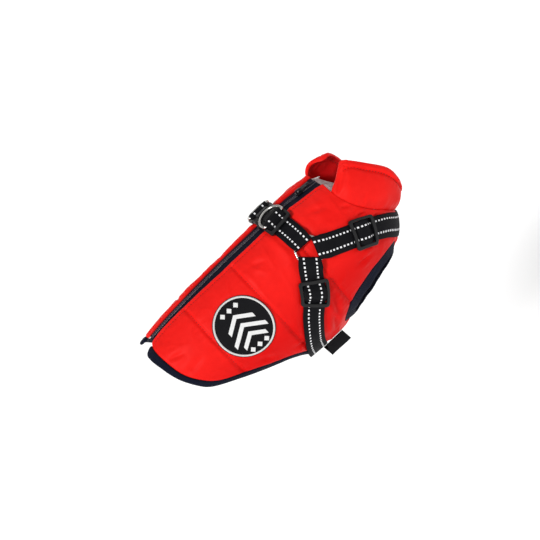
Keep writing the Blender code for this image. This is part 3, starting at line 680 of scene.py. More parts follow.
class Recipe:
    """Node tree of a material, or of the sky, while it is put together."""

    def __init__(self, tree: bpy.types.NodeTree, kind: str) -> None:
        """Finds the tree's own shader.

        Args:
            tree: the new tree.
            kind: its shader's type.
        """
        self.tree = tree
        self.shader = next(n for n in tree.nodes if n.type == kind)

    def feed(self, name: int | str, value: object, node: bpy.types.Node | None = None) -> None:
        """Links a value to an input, or sets it there.

        Args:
            name: the input.
            value: a value of this recipe, a number or a colour.
            node: the node that has the input, or none for the shader.
        """
        target = (node or self.shader).inputs[name]
        if isinstance(value, Value):
            self.tree.links.new(value.socket, target)
        else:
            target.default_value = value

    def add(
        self, kind: str, inputs: dict[int | str, object], output: int | str = 0, **settings: object
    ) -> Value:
        """Adds a node with its settings and links.

        Args:
            kind: the node's type.
            inputs: what each input is fed.
            output: which output is read.
            **settings: the node's own properties.

        Returns:
            The value that the node gives.
        """
        made = self.tree.nodes.new(kind)
        for name, setting in settings.items():
            setattr(made, name, setting)
        for name, value in inputs.items():
            self.feed(name, value, made)
        return Value(self, made.outputs[output])

    def calc(self, operation: str, *values: object) -> Value:
        """Result of one arithmetic step on values or numbers."""
        return self.add("ShaderNodeMath", dict(enumerate(values)), operation=operation)

    def mix(self, part: Value, one: Value | str, two: Value | str) -> Value:
        """Colour that is part of the way from one to the other, each a value or a hex code."""
        one, two = (linear(c) if isinstance(c, str) else c for c in (one, two))
        return self.add("ShaderNodeMix", {0: part, 6: one, 7: two}, 2, data_type="RGBA")

    def ramp(
        self, value: Value, span: tuple[float, float], ends: tuple[float, float], **settings: object
    ) -> Value:
        """Value carried from a span over to two ends, and held beyond them."""
        inputs = {0: value, 1: span[0], 2: span[1], 3: ends[0], 4: ends[1]}
        return self.add("ShaderNodeMapRange", inputs, **settings)

    def blotches(self, where: Value, size_mm: float, detail: float = 2.0) -> Value:
        """Noise from 0 to 1, with blotches of a real size, in Object coordinates."""
        inputs = {"Vector": where, "Scale": 1 / MM / size_mm, "Detail": detail}
        return self.add("ShaderNodeTexNoise", inputs)

    def place(self) -> Value:
        """Object coordinates, in metres."""
        return self.add("ShaderNodeTexCoord", {}, "Object")

    def cloth(self) -> tuple[Value, Value]:
        """The two values of the cloth's UV map, in millimetres."""
        uv = self.add("ShaderNodeUVMap", {}, uv_map=CLOTH_UV)
        u, v = (self.add("ShaderNodeSeparateXYZ", {0: uv}, k) for k in (0, 1))
        return u, v

    def emboss(self, height: Value, depth_mm: float, strength: float) -> None:
        """Raises the surface by a pattern.

        Args:
            height: the pattern, from 0 to 1.
            depth_mm: how high 1 stands.
            strength: how much of it shows.
        """
        inputs = {"Height": height, "Distance": depth_mm * MM, "Strength": strength}
        self.feed("Normal", self.add("ShaderNodeBump", inputs))


@dataclass(frozen=True)
class Value:
    """What a recipe works out at every point, with sums written as on numbers."""

    recipe: Recipe
    socket: bpy.types.NodeSocket

    def step(self, operation: str, *others: object) -> Value:
        """Result of one arithmetic step on this value and others."""
        return self.recipe.calc(operation, self, *others)

    def __add__(self, other: Value | float) -> Value:
        """Sum with a value or number."""
        return self.step("ADD", other)

    def __sub__(self, other: Value | float) -> Value:
        """Difference from a value or number."""
        return self.step("SUBTRACT", other)

    def __mul__(self, other: Value | float) -> Value:
        """Product with a value or number."""
        return self.step("MULTIPLY", other)

    def wave(self, length: float) -> Value:
        """Sine from -1 to 1 that swings once in every length."""
        return (self * (math.tau / length)).step("SINE")

    def lifted(self) -> Value:
        """The same swing, from 0 to 1."""
        return self * 0.5 + 0.5


@dataclass(frozen=True)
class Finish:
    """What every finish has: its name, its colour and how it shines."""

    name: str
    colour: str
    roughness: float = 0.6
    metallic: float = 0.0
    specular: float = 0.5
    sheen: float = 0.0

    def build(self) -> bpy.types.Material:
        """Makes the material.

        Returns:
            The material, with the finish's pattern.
        """
        made = bpy.data.materials.new(self.name)
        made.use_nodes = True
        made.diffuse_color = linear(self.colour)
        recipe = Recipe(made.node_tree, "BSDF_PRINCIPLED")
        recipe.feed("Base Color", linear(self.colour))
        recipe.feed("Roughness", self.roughness)
        recipe.feed("Metallic", self.metallic)
        if not self.metallic:
            recipe.feed("Specular IOR Level", self.specular)
        if self.sheen:
            recipe.feed("Sheen Weight", self.sheen)
            recipe.feed("Sheen Roughness", 0.4)
        self.paint(recipe)
        return made

    def paint(self, recipe: Recipe) -> None:
        """Adds the finish's own pattern, and a plain finish has none."""


@dataclass(frozen=True)
class Taffeta(Finish):
    """Plain-woven polyester taffeta over wadding: an even, saturated cloth with a faint silky gleam."""

    name: str = "taffeta_polyester_red"
    colour: str = "#f41d17"
    shade: str = "#d80b0a"
    # painted shade: the deeper red that the lower cloth is darkened to
    deep: str = "#d40301"
    roughness: float = 0.5
    specular: float = 0.1
    thread_mm: float = 0.7  # real threads lie 0.12 mm apart, too fine to show, so they are drawn coarser
    painted_shade_heights_mm: tuple[float, float] = (-86.0, -34.0)  # heights between which painted shade sets in: the red darkens towards the bottom, to the deep red below
    painted_shade_inside_mm: float = 1000.0  # UV value past which the cloth is turned in and gets painted shade: a darker red for the shadow inside the collar
    # painted shade: the darker red of the turned-in face
    inner: str = "#b0090e"

    def paint(self, recipe: Recipe) -> None:
        """Adds a fine weave, soft rumples, uneven dye, and painted shade that darkens the cloth towards
        the bottom and past a UV value.

        Args:
            recipe: the material's recipe.
        """
        place, (u, v) = recipe.place(), recipe.cloth()
        broad, fine = recipe.blotches(place, 60.0), recipe.blotches(place, 7.0, 3.0)
        uneven = recipe.ramp((broad + fine * 0.5) * 0.55, (0.30, 0.55), (0.42, 0.0))
        # painted shade: the cloth darkens towards the bottom, as if less light reached it
        low, high = (value * MM for value in self.painted_shade_heights_mm)
        up = recipe.add("ShaderNodeSeparateXYZ", {0: place}, 2)
        deep = recipe.ramp(up, (low, high), (1.0, 0.0), interpolation_type="SMOOTHSTEP")
        dye_with_painted_shade = recipe.mix(deep, self.colour, self.deep)
        # painted shade: past a UV value the turned-in face is darkened
        dye_with_painted_shade = recipe.mix(v.step("GREATER_THAN", self.painted_shade_inside_mm), dye_with_painted_shade, self.inner)
        recipe.feed("Base Color", recipe.mix(uneven, dye_with_painted_shade, self.shade))
        weave = u.wave(self.thread_mm) * v.wave(self.thread_mm) * 0.035
        recipe.emboss(recipe.blotches(place, 14.0, 4.0) * 0.9 + weave, 0.9, 0.55)


@dataclass(frozen=True)
class Fleece(Finish):
    """Brushed polyester fleece: a matt, woolly nap that catches light at its edges."""

    name: str = "fleece_polyester_white"
    colour: str = "#e9dedd"
    shade: str = "#cfbcbc"
    roughness: float = 0.95
    specular: float = 0.15
    sheen: float = 0.5
    clump_mm: float = 3.2
    fibre_mm: float = 0.6

    def paint(self, recipe: Recipe) -> None:
        """Adds the clumps and fibres of an off-white pile.

        Args:
            recipe: the material's recipe.
        """
        place = recipe.place()
        clump, fibre = (recipe.blotches(place, size) for size in (self.clump_mm, self.fibre_mm))
        part = recipe.ramp(clump, (0.35, 0.65), (0.8, 0.0))
        recipe.feed("Base Color", recipe.mix(part, self.colour, self.shade))
        recipe.emboss(clump + fibre * 0.5, 0.9, 0.8)


@dataclass(frozen=True)
class RibKnit(Finish):
    """Elastic rib-knit cotton binding: deep navy, matt, with fine ribs across the band."""

    name: str = "rib_knit_navy"
    colour: str = "#11172c"
    shade: str = "#070a17"
    roughness: float = 0.85
    specular: float = 0.1
    sheen: float = 0.08
    rib_mm: float = 1.5  # real ribs of a 1x1 rib are 1.2 to 1.6 mm apart
    stitch_mm: float = 1.1

    def paint(self, recipe: Recipe) -> None:
        """Adds ribs that follow the band's UV map, and rubbed places.

        Args:
            recipe: the material's recipe.
        """
        u, v = recipe.cloth()
        rib = u.wave(self.rib_mm).lifted()
        worn = recipe.blotches(recipe.place(), 9.0, 3.0) * 0.5
        part = recipe.add("ShaderNodeClamp", {0: recipe.calc("SUBTRACT", 1.25, rib + worn) * 0.8})
        recipe.feed("Base Color", recipe.mix(part, self.colour, self.shade))
        recipe.emboss(rib + v.wave(self.stitch_mm) * 0.18, 0.45, 0.8)


@dataclass(frozen=True)
class Webbing(Finish):
    """Woven nylon webbing: black, slightly glossy, with two rows of light-grey reflective thread."""

    name: str = "webbing_nylon_reflective"
    colour: str = "#111116"
    shade: str = "#060608"
    # painted shade for the narrow groove beside each reflective row
    groove_shade: str = "#08080a"
    bright: str = "#f4f4f6"
    roughness: float = 0.7
    specular: float = 0.12
    row_mm: float = 6.3
    row_half_mm: float = 0.9
    # width of the painted shade beside each row
    gap_mm: float = 0.35
    dash_mm: float = 4.25
    dash_part: float = 0.5
    rib_mm: float = 1.3  # picks of heavy webbing lie about 1.1 mm apart
    cord_mm: float = 1.6

    def paint(self, recipe: Recipe) -> None:
        """Adds black ribs, the dashed rows and painted shade in a narrow groove beside each row, along
        the strip's UV map.

        Args:
            recipe: the material's recipe.
        """
        u, v = recipe.cloth()
        away = (v.step("ABSOLUTE") - self.row_mm).step("ABSOLUTE")
        in_dash = u.step("DIVIDE", self.dash_mm).step("FRACT").step("LESS_THAN", self.dash_part)
        dash = away.step("LESS_THAN", self.row_half_mm) * in_dash
        weave = (u.wave(self.rib_mm) * v.wave(self.cord_mm)).lifted()
        # painted shade: the webbing is darkened in a narrow groove beside each dashed row
        beside = away.step("LESS_THAN", self.row_half_mm + self.gap_mm) * 0.7
        black = recipe.mix(beside, recipe.mix(weave, self.shade, self.colour), self.groove_shade)
        recipe.feed("Base Color", recipe.mix(dash, black, self.bright))
        recipe.emboss(weave * 0.6 + dash * 0.9, 0.35, 0.7)


@dataclass(frozen=True)
class MouldedAcetal(Finish):
    """Injection-moulded acetal hardware: black, satin, with a fine spark-eroded grain."""

    name: str = "acetal_moulded_black"
    colour: str = "#0b0b0d"
    roughness: float = 0.34
    specular: float = 0.32
    grain_mm: float = 0.5  # real grain is 0.1 mm, too fine to show, so it is drawn coarser

    def paint(self, recipe: Recipe) -> None:
        """Adds a fine grain and slightly uneven gloss.

        Args:
            recipe: the material's recipe.
        """
        place = recipe.place()
        recipe.feed("Roughness", recipe.ramp(recipe.blotches(place, 6.0), (0.3, 0.7), (0.3, 0.46)))
        recipe.emboss(recipe.blotches(place, self.grain_mm), 0.05, 0.5)


@dataclass(frozen=True)
class NickelSteel(Finish):
    """Nickel-plated steel wire: bright metal with drawn-wire streaks and faint handling marks."""

    name: str = "steel_nickel_plated"
    colour: str = "#d9d7d2"
    roughness: float = 0.18
    metallic: float = 1.0

    def paint(self, recipe: Recipe) -> None:
        """Adds uneven polish.

        Args:
            recipe: the material's recipe.
        """
        place = recipe.place()
        recipe.feed("Roughness", recipe.ramp(recipe.blotches(place, 2.5, 4.0), (0.3, 0.7), (0.12, 0.3)))
        recipe.emboss(recipe.blotches(place, 0.8), 0.02, 0.4)


@dataclass(frozen=True)
class Thread(Finish):
    """Spun polyester sewing thread: a round, softly shining strand, dark red, and darker still as
    painted shade for the seam dips that it lies in.
    """

    name: str = "sewing_thread_red"
    # partly painted shade: a dark red thread, darkened further to show the shade of the seam dips
    colour: str = "#72070c"
    roughness: float = 0.55
    specular: float = 0.3
    sheen: float = 0.1

    def paint(self, recipe: Recipe) -> None:
        """Adds the twist of the strands as a fine bump."""
        recipe.emboss(recipe.blotches(recipe.place(), 0.5), 0.08, 0.6)


@dataclass(frozen=True)
class Twill(Finish):
    """Tightly woven polyester twill: near-black, satin, with fine diagonal ribs."""

    name: str = "twill_polyester_black"
    colour: str = "#121216"
    shade: str = "#070709"
    roughness: float = 0.65
    specular: float = 0.12
    rib_mm: float = 1.0  # real twill lines lie 0.5 mm apart, so they are drawn coarser

    def weave(self, u: Value, v: Value) -> Value:
        """Diagonal ribs from 0 to 1, across the two UV values."""
        return (u + v).wave(1.41 * self.rib_mm).lifted()

    def paint(self, recipe: Recipe) -> None:
        """Adds the diagonal ribs.

        Args:
            recipe: the material's recipe.
        """
        weave = self.weave(*recipe.cloth())
        recipe.feed("Base Color", recipe.mix(weave, self.shade, self.colour))
        recipe.emboss(weave, 0.2, 0.7)


@dataclass(frozen=True)
class Embroidery(Twill):
    """Machine-embroidered badge: black twill with raised white satin stitch in plain shapes."""

    name: str = "embroidered_badge"
    bright: str = "#f1f1f0"
    dull: str = "#c9c9cb"
    stroke_mm: float = 2.5
    chevrons: Rows = ((-8.0, 17.0), (3.0, 21.5), (14.0, 15.0))
    rows: tuple[float, ...] = (-21.5, 24.0)
    diamond_mm: float = 3.4
    spread_mm: float = 9.4

    def paint(self, recipe: Recipe) -> None:
        """Adds three chevrons between two rows of diamonds.

        Args:
            recipe: the material's recipe.
        """
        u, v = recipe.cloth()
        side = u.step("ABSOLUTE")
        shapes = []
        for low, width in self.chevrons:
            leg = v - low - side * 0.62 + 5.0
            stroke = leg.step("ABSOLUTE").step("LESS_THAN", self.stroke_mm)
            shapes.append(stroke * side.step("LESS_THAN", width))
        half = self.spread_mm / 2
        for centre in self.rows:
            away = recipe.calc("SUBTRACT", half, (u + half).step("PINGPONG", half))
            reach = away + (v - centre).step("ABSOLUTE")
            inside = side.step("LESS_THAN", 1.5 * self.spread_mm)
            shapes.append(reach.step("LESS_THAN", self.diamond_mm) * inside)
        motif = shapes[0]
        for shape in shapes[1:]:
            motif = motif.step("MAXIMUM", shape)
        weave = self.weave(u, v)
        satin = ((u + v * 0.2) * 9.0).step("SINE").lifted()
        white = recipe.mix(satin * 0.35, self.bright, self.dull)
        black = recipe.mix(weave, self.shade, self.colour)
        recipe.feed("Base Color", recipe.mix(motif, black, white))
        recipe.emboss(motif * (satin * 0.3 + 0.8) + weave * 0.3, 0.5, 0.8)


@dataclass(frozen=True)
class Overlock(Finish):
    """Merrowed edge of a badge: thick white rayon thread wound side by side over the rim."""

    name: str = "overlock_thread_white"
    colour: str = "#efefec"
    shade: str = "#d2d2d0"
    dark: str = "#141417"
    roughness: float = 0.6
    specular: float = 0.3
    thread_mm: float = 0.8
    edge_mm: float = 2.05  # the white thread ends here, and the rim's outer side beyond it is drawn near-black

    def paint(self, recipe: Recipe) -> None:
        """Adds thread wound across the rim, with a dark line round its outside.

        Args:
            recipe: the material's recipe.
        """
        u, v = recipe.cloth()
        wound = u.wave(self.thread_mm).lifted()
        white = recipe.mix(wound, self.shade, self.colour)
        edge = v.step("GREATER_THAN", self.edge_mm)
        recipe.feed("Base Color", recipe.mix(edge, white, self.dark))
        recipe.emboss(wound, 0.25, 0.8)


@dataclass(frozen=True)
class Floor(Finish):
    """Seamless white studio paper, lit from behind: matt, even and bright."""

    name: str = "paper_white_matt"
    colour: str = "#fafafa"
    shade: str = "#f4f4f4"
    roughness: float = 0.9
    specular: float = 0.1
    glow: float = 0.32

    def paint(self, recipe: Recipe) -> None:
        """Adds the paper's faint unevenness and its own light.

        Args:
            recipe: the material's recipe.
        """
        part = recipe.blotches(recipe.place(), 300.0)
        recipe.feed("Base Color", recipe.mix(part, self.colour, self.shade))
        recipe.feed("Emission Color", linear(WHITE))
        recipe.feed("Emission Strength", self.glow)


# ---------------- workroom


class ClosedCurve:
    """Smooth closed line through a few points."""

    def __init__(self, points: Rows) -> None:
        """Keeps the points in order."""
        self.points = np.array(points, float)

    def at(self, v: Array) -> Array:
        """Points at parts of the way round.

        Args:
            v: from 0 to 1.

        Returns:
            One row for each place.
        """
        n = len(self.points)
        x = np.asarray(v, float) * n
        i = np.floor(x).astype(int)
        f = (x - i)[..., None]
        a, b, c, d = (self.points[(i + k) % n] for k in (-1, 0, 1, 2))
        return hermite(f, b, c, (c - a) / 2, (d - b) / 2)


@dataclass
class Workroom:
    """What every sub-assembly needs: the body surface, the webbing's tracks and the finishes."""

    form: BodyForm
    tracks: dict[str, Track]
    finishes: dict[str, bpy.types.Material] = field(default_factory=dict)

    def keep(
        self,
        piece: bpy.types.Object,
        finish: str,
        slot: str,
        nodes: Sequence[str] = (),
        body: str = COAT_BODY,
    ) -> None:
        """slot: the record's material slot; not used.
            nodes: the solids that it stands for.
            body: the body that it rides on.
        """
        piece.data.materials.clear()
        piece.data.materials.append(self.finishes[finish])
        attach(piece, body)
        if nodes:
            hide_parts(*nodes)
        log.info("%s: %d faces, %s", piece.name, len(piece.data.polygons), finish)


@dataclass
class Seamstress:
    """Sews: lays single stitches of thread along a line, as one piece."""

    room: Workroom
    stitch_mm: float = 2.0
    gap_mm: float = 1.5
    thread_mm: float = 0.8

    def sew(self, name: str, points: Array, normals: Array, lines: Sequence[int]) -> None:
        """Lays stitches along one or more lines.

        Args:
            name: the piece's name.
            points: the line, in millimetres.
            normals: which way the cloth faces at each point.
            lines: where in the points each further line starts.
        """
        bm = bmesh.new()
        cuts = [0, *lines, len(points)]
        for first, last in zip(cuts, cuts[1:]):
            line, out = points[first:last], normals[first:last]
            run = running_length(line)
            pitch = self.stitch_mm + self.gap_mm
            starts = np.arange(0.4, run[-1] - self.stitch_mm, pitch)
            for start in starts:
                ends = [
                    np.array([np.interp(start + reach, run, line[:, k]) for k in range(3)])
                    for reach in (0.0, self.stitch_mm)
                ]
                normal = Vector([float(np.interp(start, run, out[:, k])) for k in range(3)])
                normal.normalize()
                way = Vector(ends[1] - ends[0]).normalized()
                across = normal.cross(way).normalized()
                normal = way.cross(across)
                middle = Vector((ends[0] + ends[1]) / 2) + normal * 0.02
                half = self.thread_mm / 2
                basis = Matrix((way * self.stitch_mm * 0.54, across * half, normal * half)).transposed()
                place = Matrix.Translation(middle * MM) @ (basis * MM).to_4x4()
                bmesh.ops.create_uvsphere(bm, u_segments=6, v_segments=4, radius=1.0, matrix=place)
        self.room.keep(write_mesh(bm, name), "thread_red", "nylon_red")


# ---------------- shell, lining and bindings


@dataclass
class ShellPanels:
    """Quilted outer panels, lightly padded, pressed down where webbing and badge lie on them."""

    room: Workroom
    crest: float = 4.7
    wall: float = 0.6
    seams: tuple[float, ...] = (-140.0, -71.5, -3.0)
    counts: tuple[int, int] = (210, 165)
    badge: Triple = (-106.3, 63.8, 35.5)
    topstitch: float = 6.0
    edge_length: float = 1.18  # millimetres for each degree beside the zip
    # start and end as station and angle, half width, depth
    creases: Rows = (
        (-26, 112, -33, 132, 3.4, 1.1), (-14, 96, -20, 118, 3.0, 0.8), (24, 97, 36, 103, 2.4, 0.9),
        (38, 90, 47, 99, 2.6, 0.8), (60, 70, 74, 79, 2.8, 1.0), (66, 88, 82, 95, 2.6, 0.8),
        (72, 58, 60, 52, 2.4, 0.7), (-189, 40, -170, 46, 3.0, 0.7), (-184, 62, -160, 60, 3.4, 0.6),
        (-120, 96, -104, 103, 2.8, 0.7), (-80, 110, -66, 116, 2.6, 0.9),
        (-58, 30, -40, 36, 3.2, 0.5), (30, 34, 52, 40, 3.4, 0.5), (-50, 150, -10, 164, 3.2, 1.0),
        (60, 140, 84, 160, 3.0, 0.9),
    )

    def __post_init__(self) -> None:
        """Notes where webbing lies."""
        form = self.room.form
        rows = np.concatenate([track.rows[:, :2] for track in self.room.tracks.values()])
        points = form.coat(rows[:, 0], rows[:, 1], SKIN)
        self.webbing = KDTree(len(points))
        for index, point in enumerate(points):
            self.webbing.insert(Vector(point), index)
        self.webbing.balance()

    def near_webbing(self, points: Array) -> Array:
        """Distance from each point to the middle line of the nearest webbing."""
        return np.array([self.webbing.find(Vector(point))[2] for point in points])

    def height(self, s: Array, t: Array, side: Side) -> Array:
        """Height of the cloth's outer face over the inside of the coat.

        Args:
            s: stations.
            t: angles, always positive.
            side: the half of the coat.

        Returns:
            Heights in millimetres.
        """
        form = self.room.form
        w = t * form.ANGLE_LENGTH
        seed = 3 if side is Side.RIGHT else 31
        flat = pair(s, w)
        edges = np.array([-215.0, *self.seams, 118.0])
        cell = np.clip(np.searchsorted(edges, s) - 1, 0, len(edges) - 2)
        part = np.clip((s - edges[cell]) / (edges[cell + 1] - edges[cell]), 0, 1)
        height = self.crest + 0.55 * np.sqrt(np.maximum(0, 4 * part * (1 - part))) - 0.25
        height += 0.75 * soft_noise(flat, (60.0, 42.0), seed)
        height += 0.45 * soft_noise(flat, (15.0, 26.0), seed + 1)
        ridge = 1 - np.abs(soft_noise(flat, (21.0, 34.0), seed + 2)) * 2.2
        height += 0.42 * np.maximum(0, ridge) ** 3
        edge = (t - form.zip_edge(s)) * self.edge_length
        clear = smooth_step(edge, 2.0, 10.0) if side is Side.RIGHT else smooth_step(edge, 5.0, 30.0)
        for index, seam in enumerate(self.seams):
            away = np.abs(s - seam)
            pucker = soft_noise(pair(s, w), (18.0, 4.6), seed + 7 + index)
            height -= 1.9 * clear * bell(away, 1.7)
            beside = bell(away, 8.5) * (1 - bell(away, 2.0))
            height += 0.95 * pucker * clear * beside
        for s0, t0, s1, t1, width, depth in self.creases:
            a = np.array([s0, t0 * form.ANGLE_LENGTH])
            b = np.array([s1, t1 * form.ANGLE_LENGTH])
            f = np.clip(((flat - a) @ (b - a)) / np.dot(b - a, b - a), 0, 1)
            bow = 1.6 * np.sin(np.pi * f)
            away = np.linalg.norm(flat - a - f[:, None] * (b - a), axis=1) - bow * 0.3
            fade = np.sin(np.pi * np.clip(f * 0.9 + 0.05, 0, 1))
            height -= 1.8 * depth * fade * bell(away, 0.8 * width)
            height += 1.3 * depth * fade * bell(away - 2.1 * width, 1.3 * width)
        pucker = soft_noise(pair(s, edge), (3.6, 22.0), seed + 20)
        height += 0.5 * pucker * bell(edge - 9.0, 6.0)
        height -= 1.3 * bell(edge - self.topstitch, 1.4)
        points = form.coat(s, side.value * t, SKIN)
        away = self.near_webbing(points)
        height += 0.5 * bell(away - 20.0, 5.0)
        low = np.minimum(height, 4.8)
        pressed = 1 - smooth_step(away, 13.0, 19.0)
        if side is Side.RIGHT:
            middle = form.coat(self.badge[0], self.badge[1], SKIN)
            badge = np.linalg.norm(points - middle, axis=1)
            pressed = np.maximum(pressed, 1 - smooth_step(badge, self.badge[2], self.badge[2] + 5.0))
        height += (low - height) * pressed
        slant = np.gradient(form.hem.at(np.arange(0, 181.0))[:, 0]) / form.ANGLE_LENGTH
        lean = np.sqrt(1 + np.interp(t, np.arange(0, 181.0), slant) ** 2)
        borders = (
            (edge, 2.4, 1.9),
            ((s - form.hem.at(t)[:, 0]) / lean, 3.2, 3.1),
            (form.neck.at(t)[:, 0] - s, 2.6, 2.2),
            (form.armhole_distance(s, t), 3.0, 2.6),
        )
        for distance, reach, low_edge in borders:
            inner = np.clip(1 - distance / reach, 0, 1)
            height -= (np.maximum(height - low_edge, 0)) * (1 - np.sqrt(1 - inner**2))
        return height

    def build(self, side: Side) -> None:
        """Makes one half's shell.

        Args:
            side: the half of the coat.
        """
        form = self.room.form

        def place(u: Array, v: Array) -> Pair:
            s, t = form.panel(u, v)
            uv = pair(s, t * form.ANGLE_LENGTH * side.value)
            return form.coat(s, side.value * t, self.height(s, t, side)), uv

        def keep(u: Array, v: Array) -> Array:
            s, t = form.panel(u, v)
            return form.armhole_distance(s, t) > -0.9

        piece = cloth_grid(f"shell_{side.label}_quilted", self.counts, place, keep=keep)
        give_wall(piece, self.wall)
        self.room.keep(piece, "taffeta", "nylon_red", [f"shell_{side.label}"])

    def lines(self, side: Side) -> list[Array]:
        """Lines of stitching on one half, as rows of station and angle.

        Args:
            side: the half of the coat.

        Returns:
            The quilt seams and the topstitching along the zip.
        """
        form = self.room.form
        found = []
        for seam in self.seams:
            t = np.linspace(12, 179, 300)
            level = np.full_like(t, seam)
            good = (form.hem.at(t)[:, 0] + 2 < seam) & (form.armhole_distance(level, t) > 3)
            good &= t > form.zip_edge(level) + self.topstitch / self.edge_length
            t = t[good]
            breaks = np.nonzero(np.diff(t) > 2)[0] + 1
            runs = (run for run in np.split(t, breaks) if len(run) > 6)
            found += [pair(np.full_like(run, seam), run) for run in runs]
        s = np.linspace(-188, 84, 400)
        found.append(pair(s, form.zip_edge(s) + self.topstitch / self.edge_length))
        return found

    def sew(self, side: Side) -> None:
        """Lays one half's stitches in the dips of its seams.

        Args:
            side: the half of the coat.
        """
        form = self.room.form
        lines = self.lines(side)
        rows = np.concatenate(lines)
        s, t = rows[:, 0], rows[:, 1]
        height = self.height(s, t, side)
        points = form.coat(s, side.value * t, height)
        normals = form.coat(s, side.value * t, height + 1) - points
        starts = np.cumsum([len(line) for line in lines])[:-1]
        Seamstress(self.room).sew(f"shell_{side.label}_stitches", points, normals, lines=list(starts))


@dataclass
class LiningPanels:
    """Fleece lining inside each shell panel, turned out as a facing at the neck by the zip."""

    room: Workroom
    wall: float = 0.9
    counts: tuple[int, int] = (110, 90)

    def build(self, side: Side) -> None:
        """Makes one half's lining.

        Args:
            side: the half of the coat.
        """
        form = self.room.form

        def place(u: Array, v: Array) -> Pair:
            s, t = form.panel(u, v, 0.6)
            station, angle = form.ARMHOLE[:2]
            ds, dw = s - station, (t - angle) * form.ANGLE_LENGTH
            distance = form.armhole_distance(s, t)
            on_edge = (distance > -3.6) & (distance < 0.2)
            push = np.where(on_edge, 0.2 - distance, 0.0) / np.hypot(ds, dw)
            s, t = s + ds * push, t + dw * push / form.ANGLE_LENGTH
            far = side is Side.LEFT
            wide, last = (26.0, 90.0) if far else (7.5, 40.0)
            facing = wide * smooth_step(t, 12.0, 26.0) * (1 - smooth_step(t, last - 8.0, last))
            near_neck = smooth_step(u, 0.93, 1.0)
            s = s + facing * near_neck
            rise = (-4.2 if far else 1.0) * near_neck * facing / wide
            pile = 0.12 * soft_noise(pair(s, t), 3.0, 5)
            uv = pair(s, t * form.ANGLE_LENGTH * side.value)
            return form.coat(s, side.value * t, self.wall + pile + rise), uv

        def keep(u: Array, v: Array) -> Array:
            s, t = form.panel(u, v, 0.6)
            return form.armhole_distance(s, t) > -1.3

        piece = cloth_grid(f"lining_{side.label}_fleece", self.counts, place, keep=keep)
        give_wall(piece, self.wall)
        self.room.keep(piece, "fleece", "fleece_white", [f"lining_{side.label}"])


@dataclass
class HemBinding:
    """Folded rib binding that closes the edge from the zip's end to the belly seam."""

    room: Workroom
    low: float = 0.5
    high: float = 4.5
    seam: float = 0.8
    start: float = 12.2
    counts: tuple[int, int] = (260, 22)

    def build(self, side: Side) -> None:
        """Makes one half's binding.

        Args:
            side: the half of the coat.
        """
        form = self.room.form
        fine = np.linspace(self.start, form.BELLY_EDGE, 600)
        row = form.hem.at(fine)
        line = form.coat(row[:, 0], fine, 2.0)
        run = running_length(line)

        def place(u: Array, v: Array) -> Pair:
            along = u * run[-1]
            t = np.interp(along, run, fine)
            cut, hem = form.hem.at(t).T
            cut = cut - self.seam + 0.7
            hem = np.minimum(hem, cut - 1.5)
            turn = math.tau * v
            c, z = np.cos(turn), np.sin(turn)
            part = 0.5 + 0.5 * np.sign(c) * np.abs(c) ** 0.6
            middle, half = (self.high + self.low) / 2, (self.high - self.low) / 2
            height = middle + half * np.sign(z) * np.abs(z) ** 0.75
            wave = soft_noise(pair(along / 13.0, part), 1.0, 11 + side.value)
            height = height + 0.45 * wave * np.maximum(z, 0)
            s = cut + (hem - cut) * part + 0.35 * wave * part
            section = (self.high - self.low) * 0.5 * turn + 3.0 * (1 - np.cos(turn))
            return form.coat(s, side.value * t, height), pair(along, section)

        piece = cloth_grid(f"hem_binding_{side.label}_rib", self.counts, place, closed=True)
        self.room.keep(piece, "rib_knit", "rib_navy", [f"hem_binding_{side.label}"])


@dataclass
class ArmholeCuff:
    """Knitted cuff that stands in a front leg's opening."""

    room: Workroom
    counts: tuple[int, int] = (190, 30)
    section: Rows = (
        (0.0, 0.4), (-0.6, 1.8), (0.4, 3.1), (3.5, 3.7), (7.0, 4.3), (11.0, 5.1), (13.4, 5.3),
        (14.2, 4.4), (13.4, 3.2), (11.0, 2.6), (7.0, 1.2), (3.0, 0.3),
    )

    def build(self, side: Side) -> None:
        """Makes one opening's cuff.

        Args:
            side: the half of the coat.
        """
        form = self.room.form
        station, angle, length, spread = form.ARMHOLE
        curve = ClosedCurve(self.section)

        def place(u: Array, v: Array) -> Pair:
            turn = math.tau * u
            s = station + (length - 0.3) * np.cos(turn)
            w = angle * form.ANGLE_LENGTH + (spread * form.ANGLE_LENGTH - 0.3) * np.sin(turn)
            t = w / form.ANGLE_LENGTH
            low = form.coat(s, side.value * t, 0.9)
            out = form.coat(s, side.value * t, 1.9) - low
            along, around, _ = form.directions(s, side.value * t)
            ds = (station - s)[:, None]
            dt = (side.value * (angle - t))[:, None]
            towards = along * ds + around * dt
            towards -= out * np.sum(towards * out, 1, keepdims=True)
            towards /= np.linalg.norm(towards, axis=1, keepdims=True)
            a, b = curve.at(v).T
            wave = soft_noise(pair(np.cos(turn), np.sin(turn)), 0.22, 21 + side.value)
            b = b + 0.5 * wave * (a / 14.0)
            uv = pair(turn * 32.0, v * 34.0)
            return low + towards * a[:, None] + out * b[:, None], uv

        piece = cloth_grid(f"armhole_cuff_{side.label}_rib", self.counts, place, closed=True)
        self.room.keep(piece, "rib_knit", "rib_navy", [f"armhole_cuff_{side.label}"])


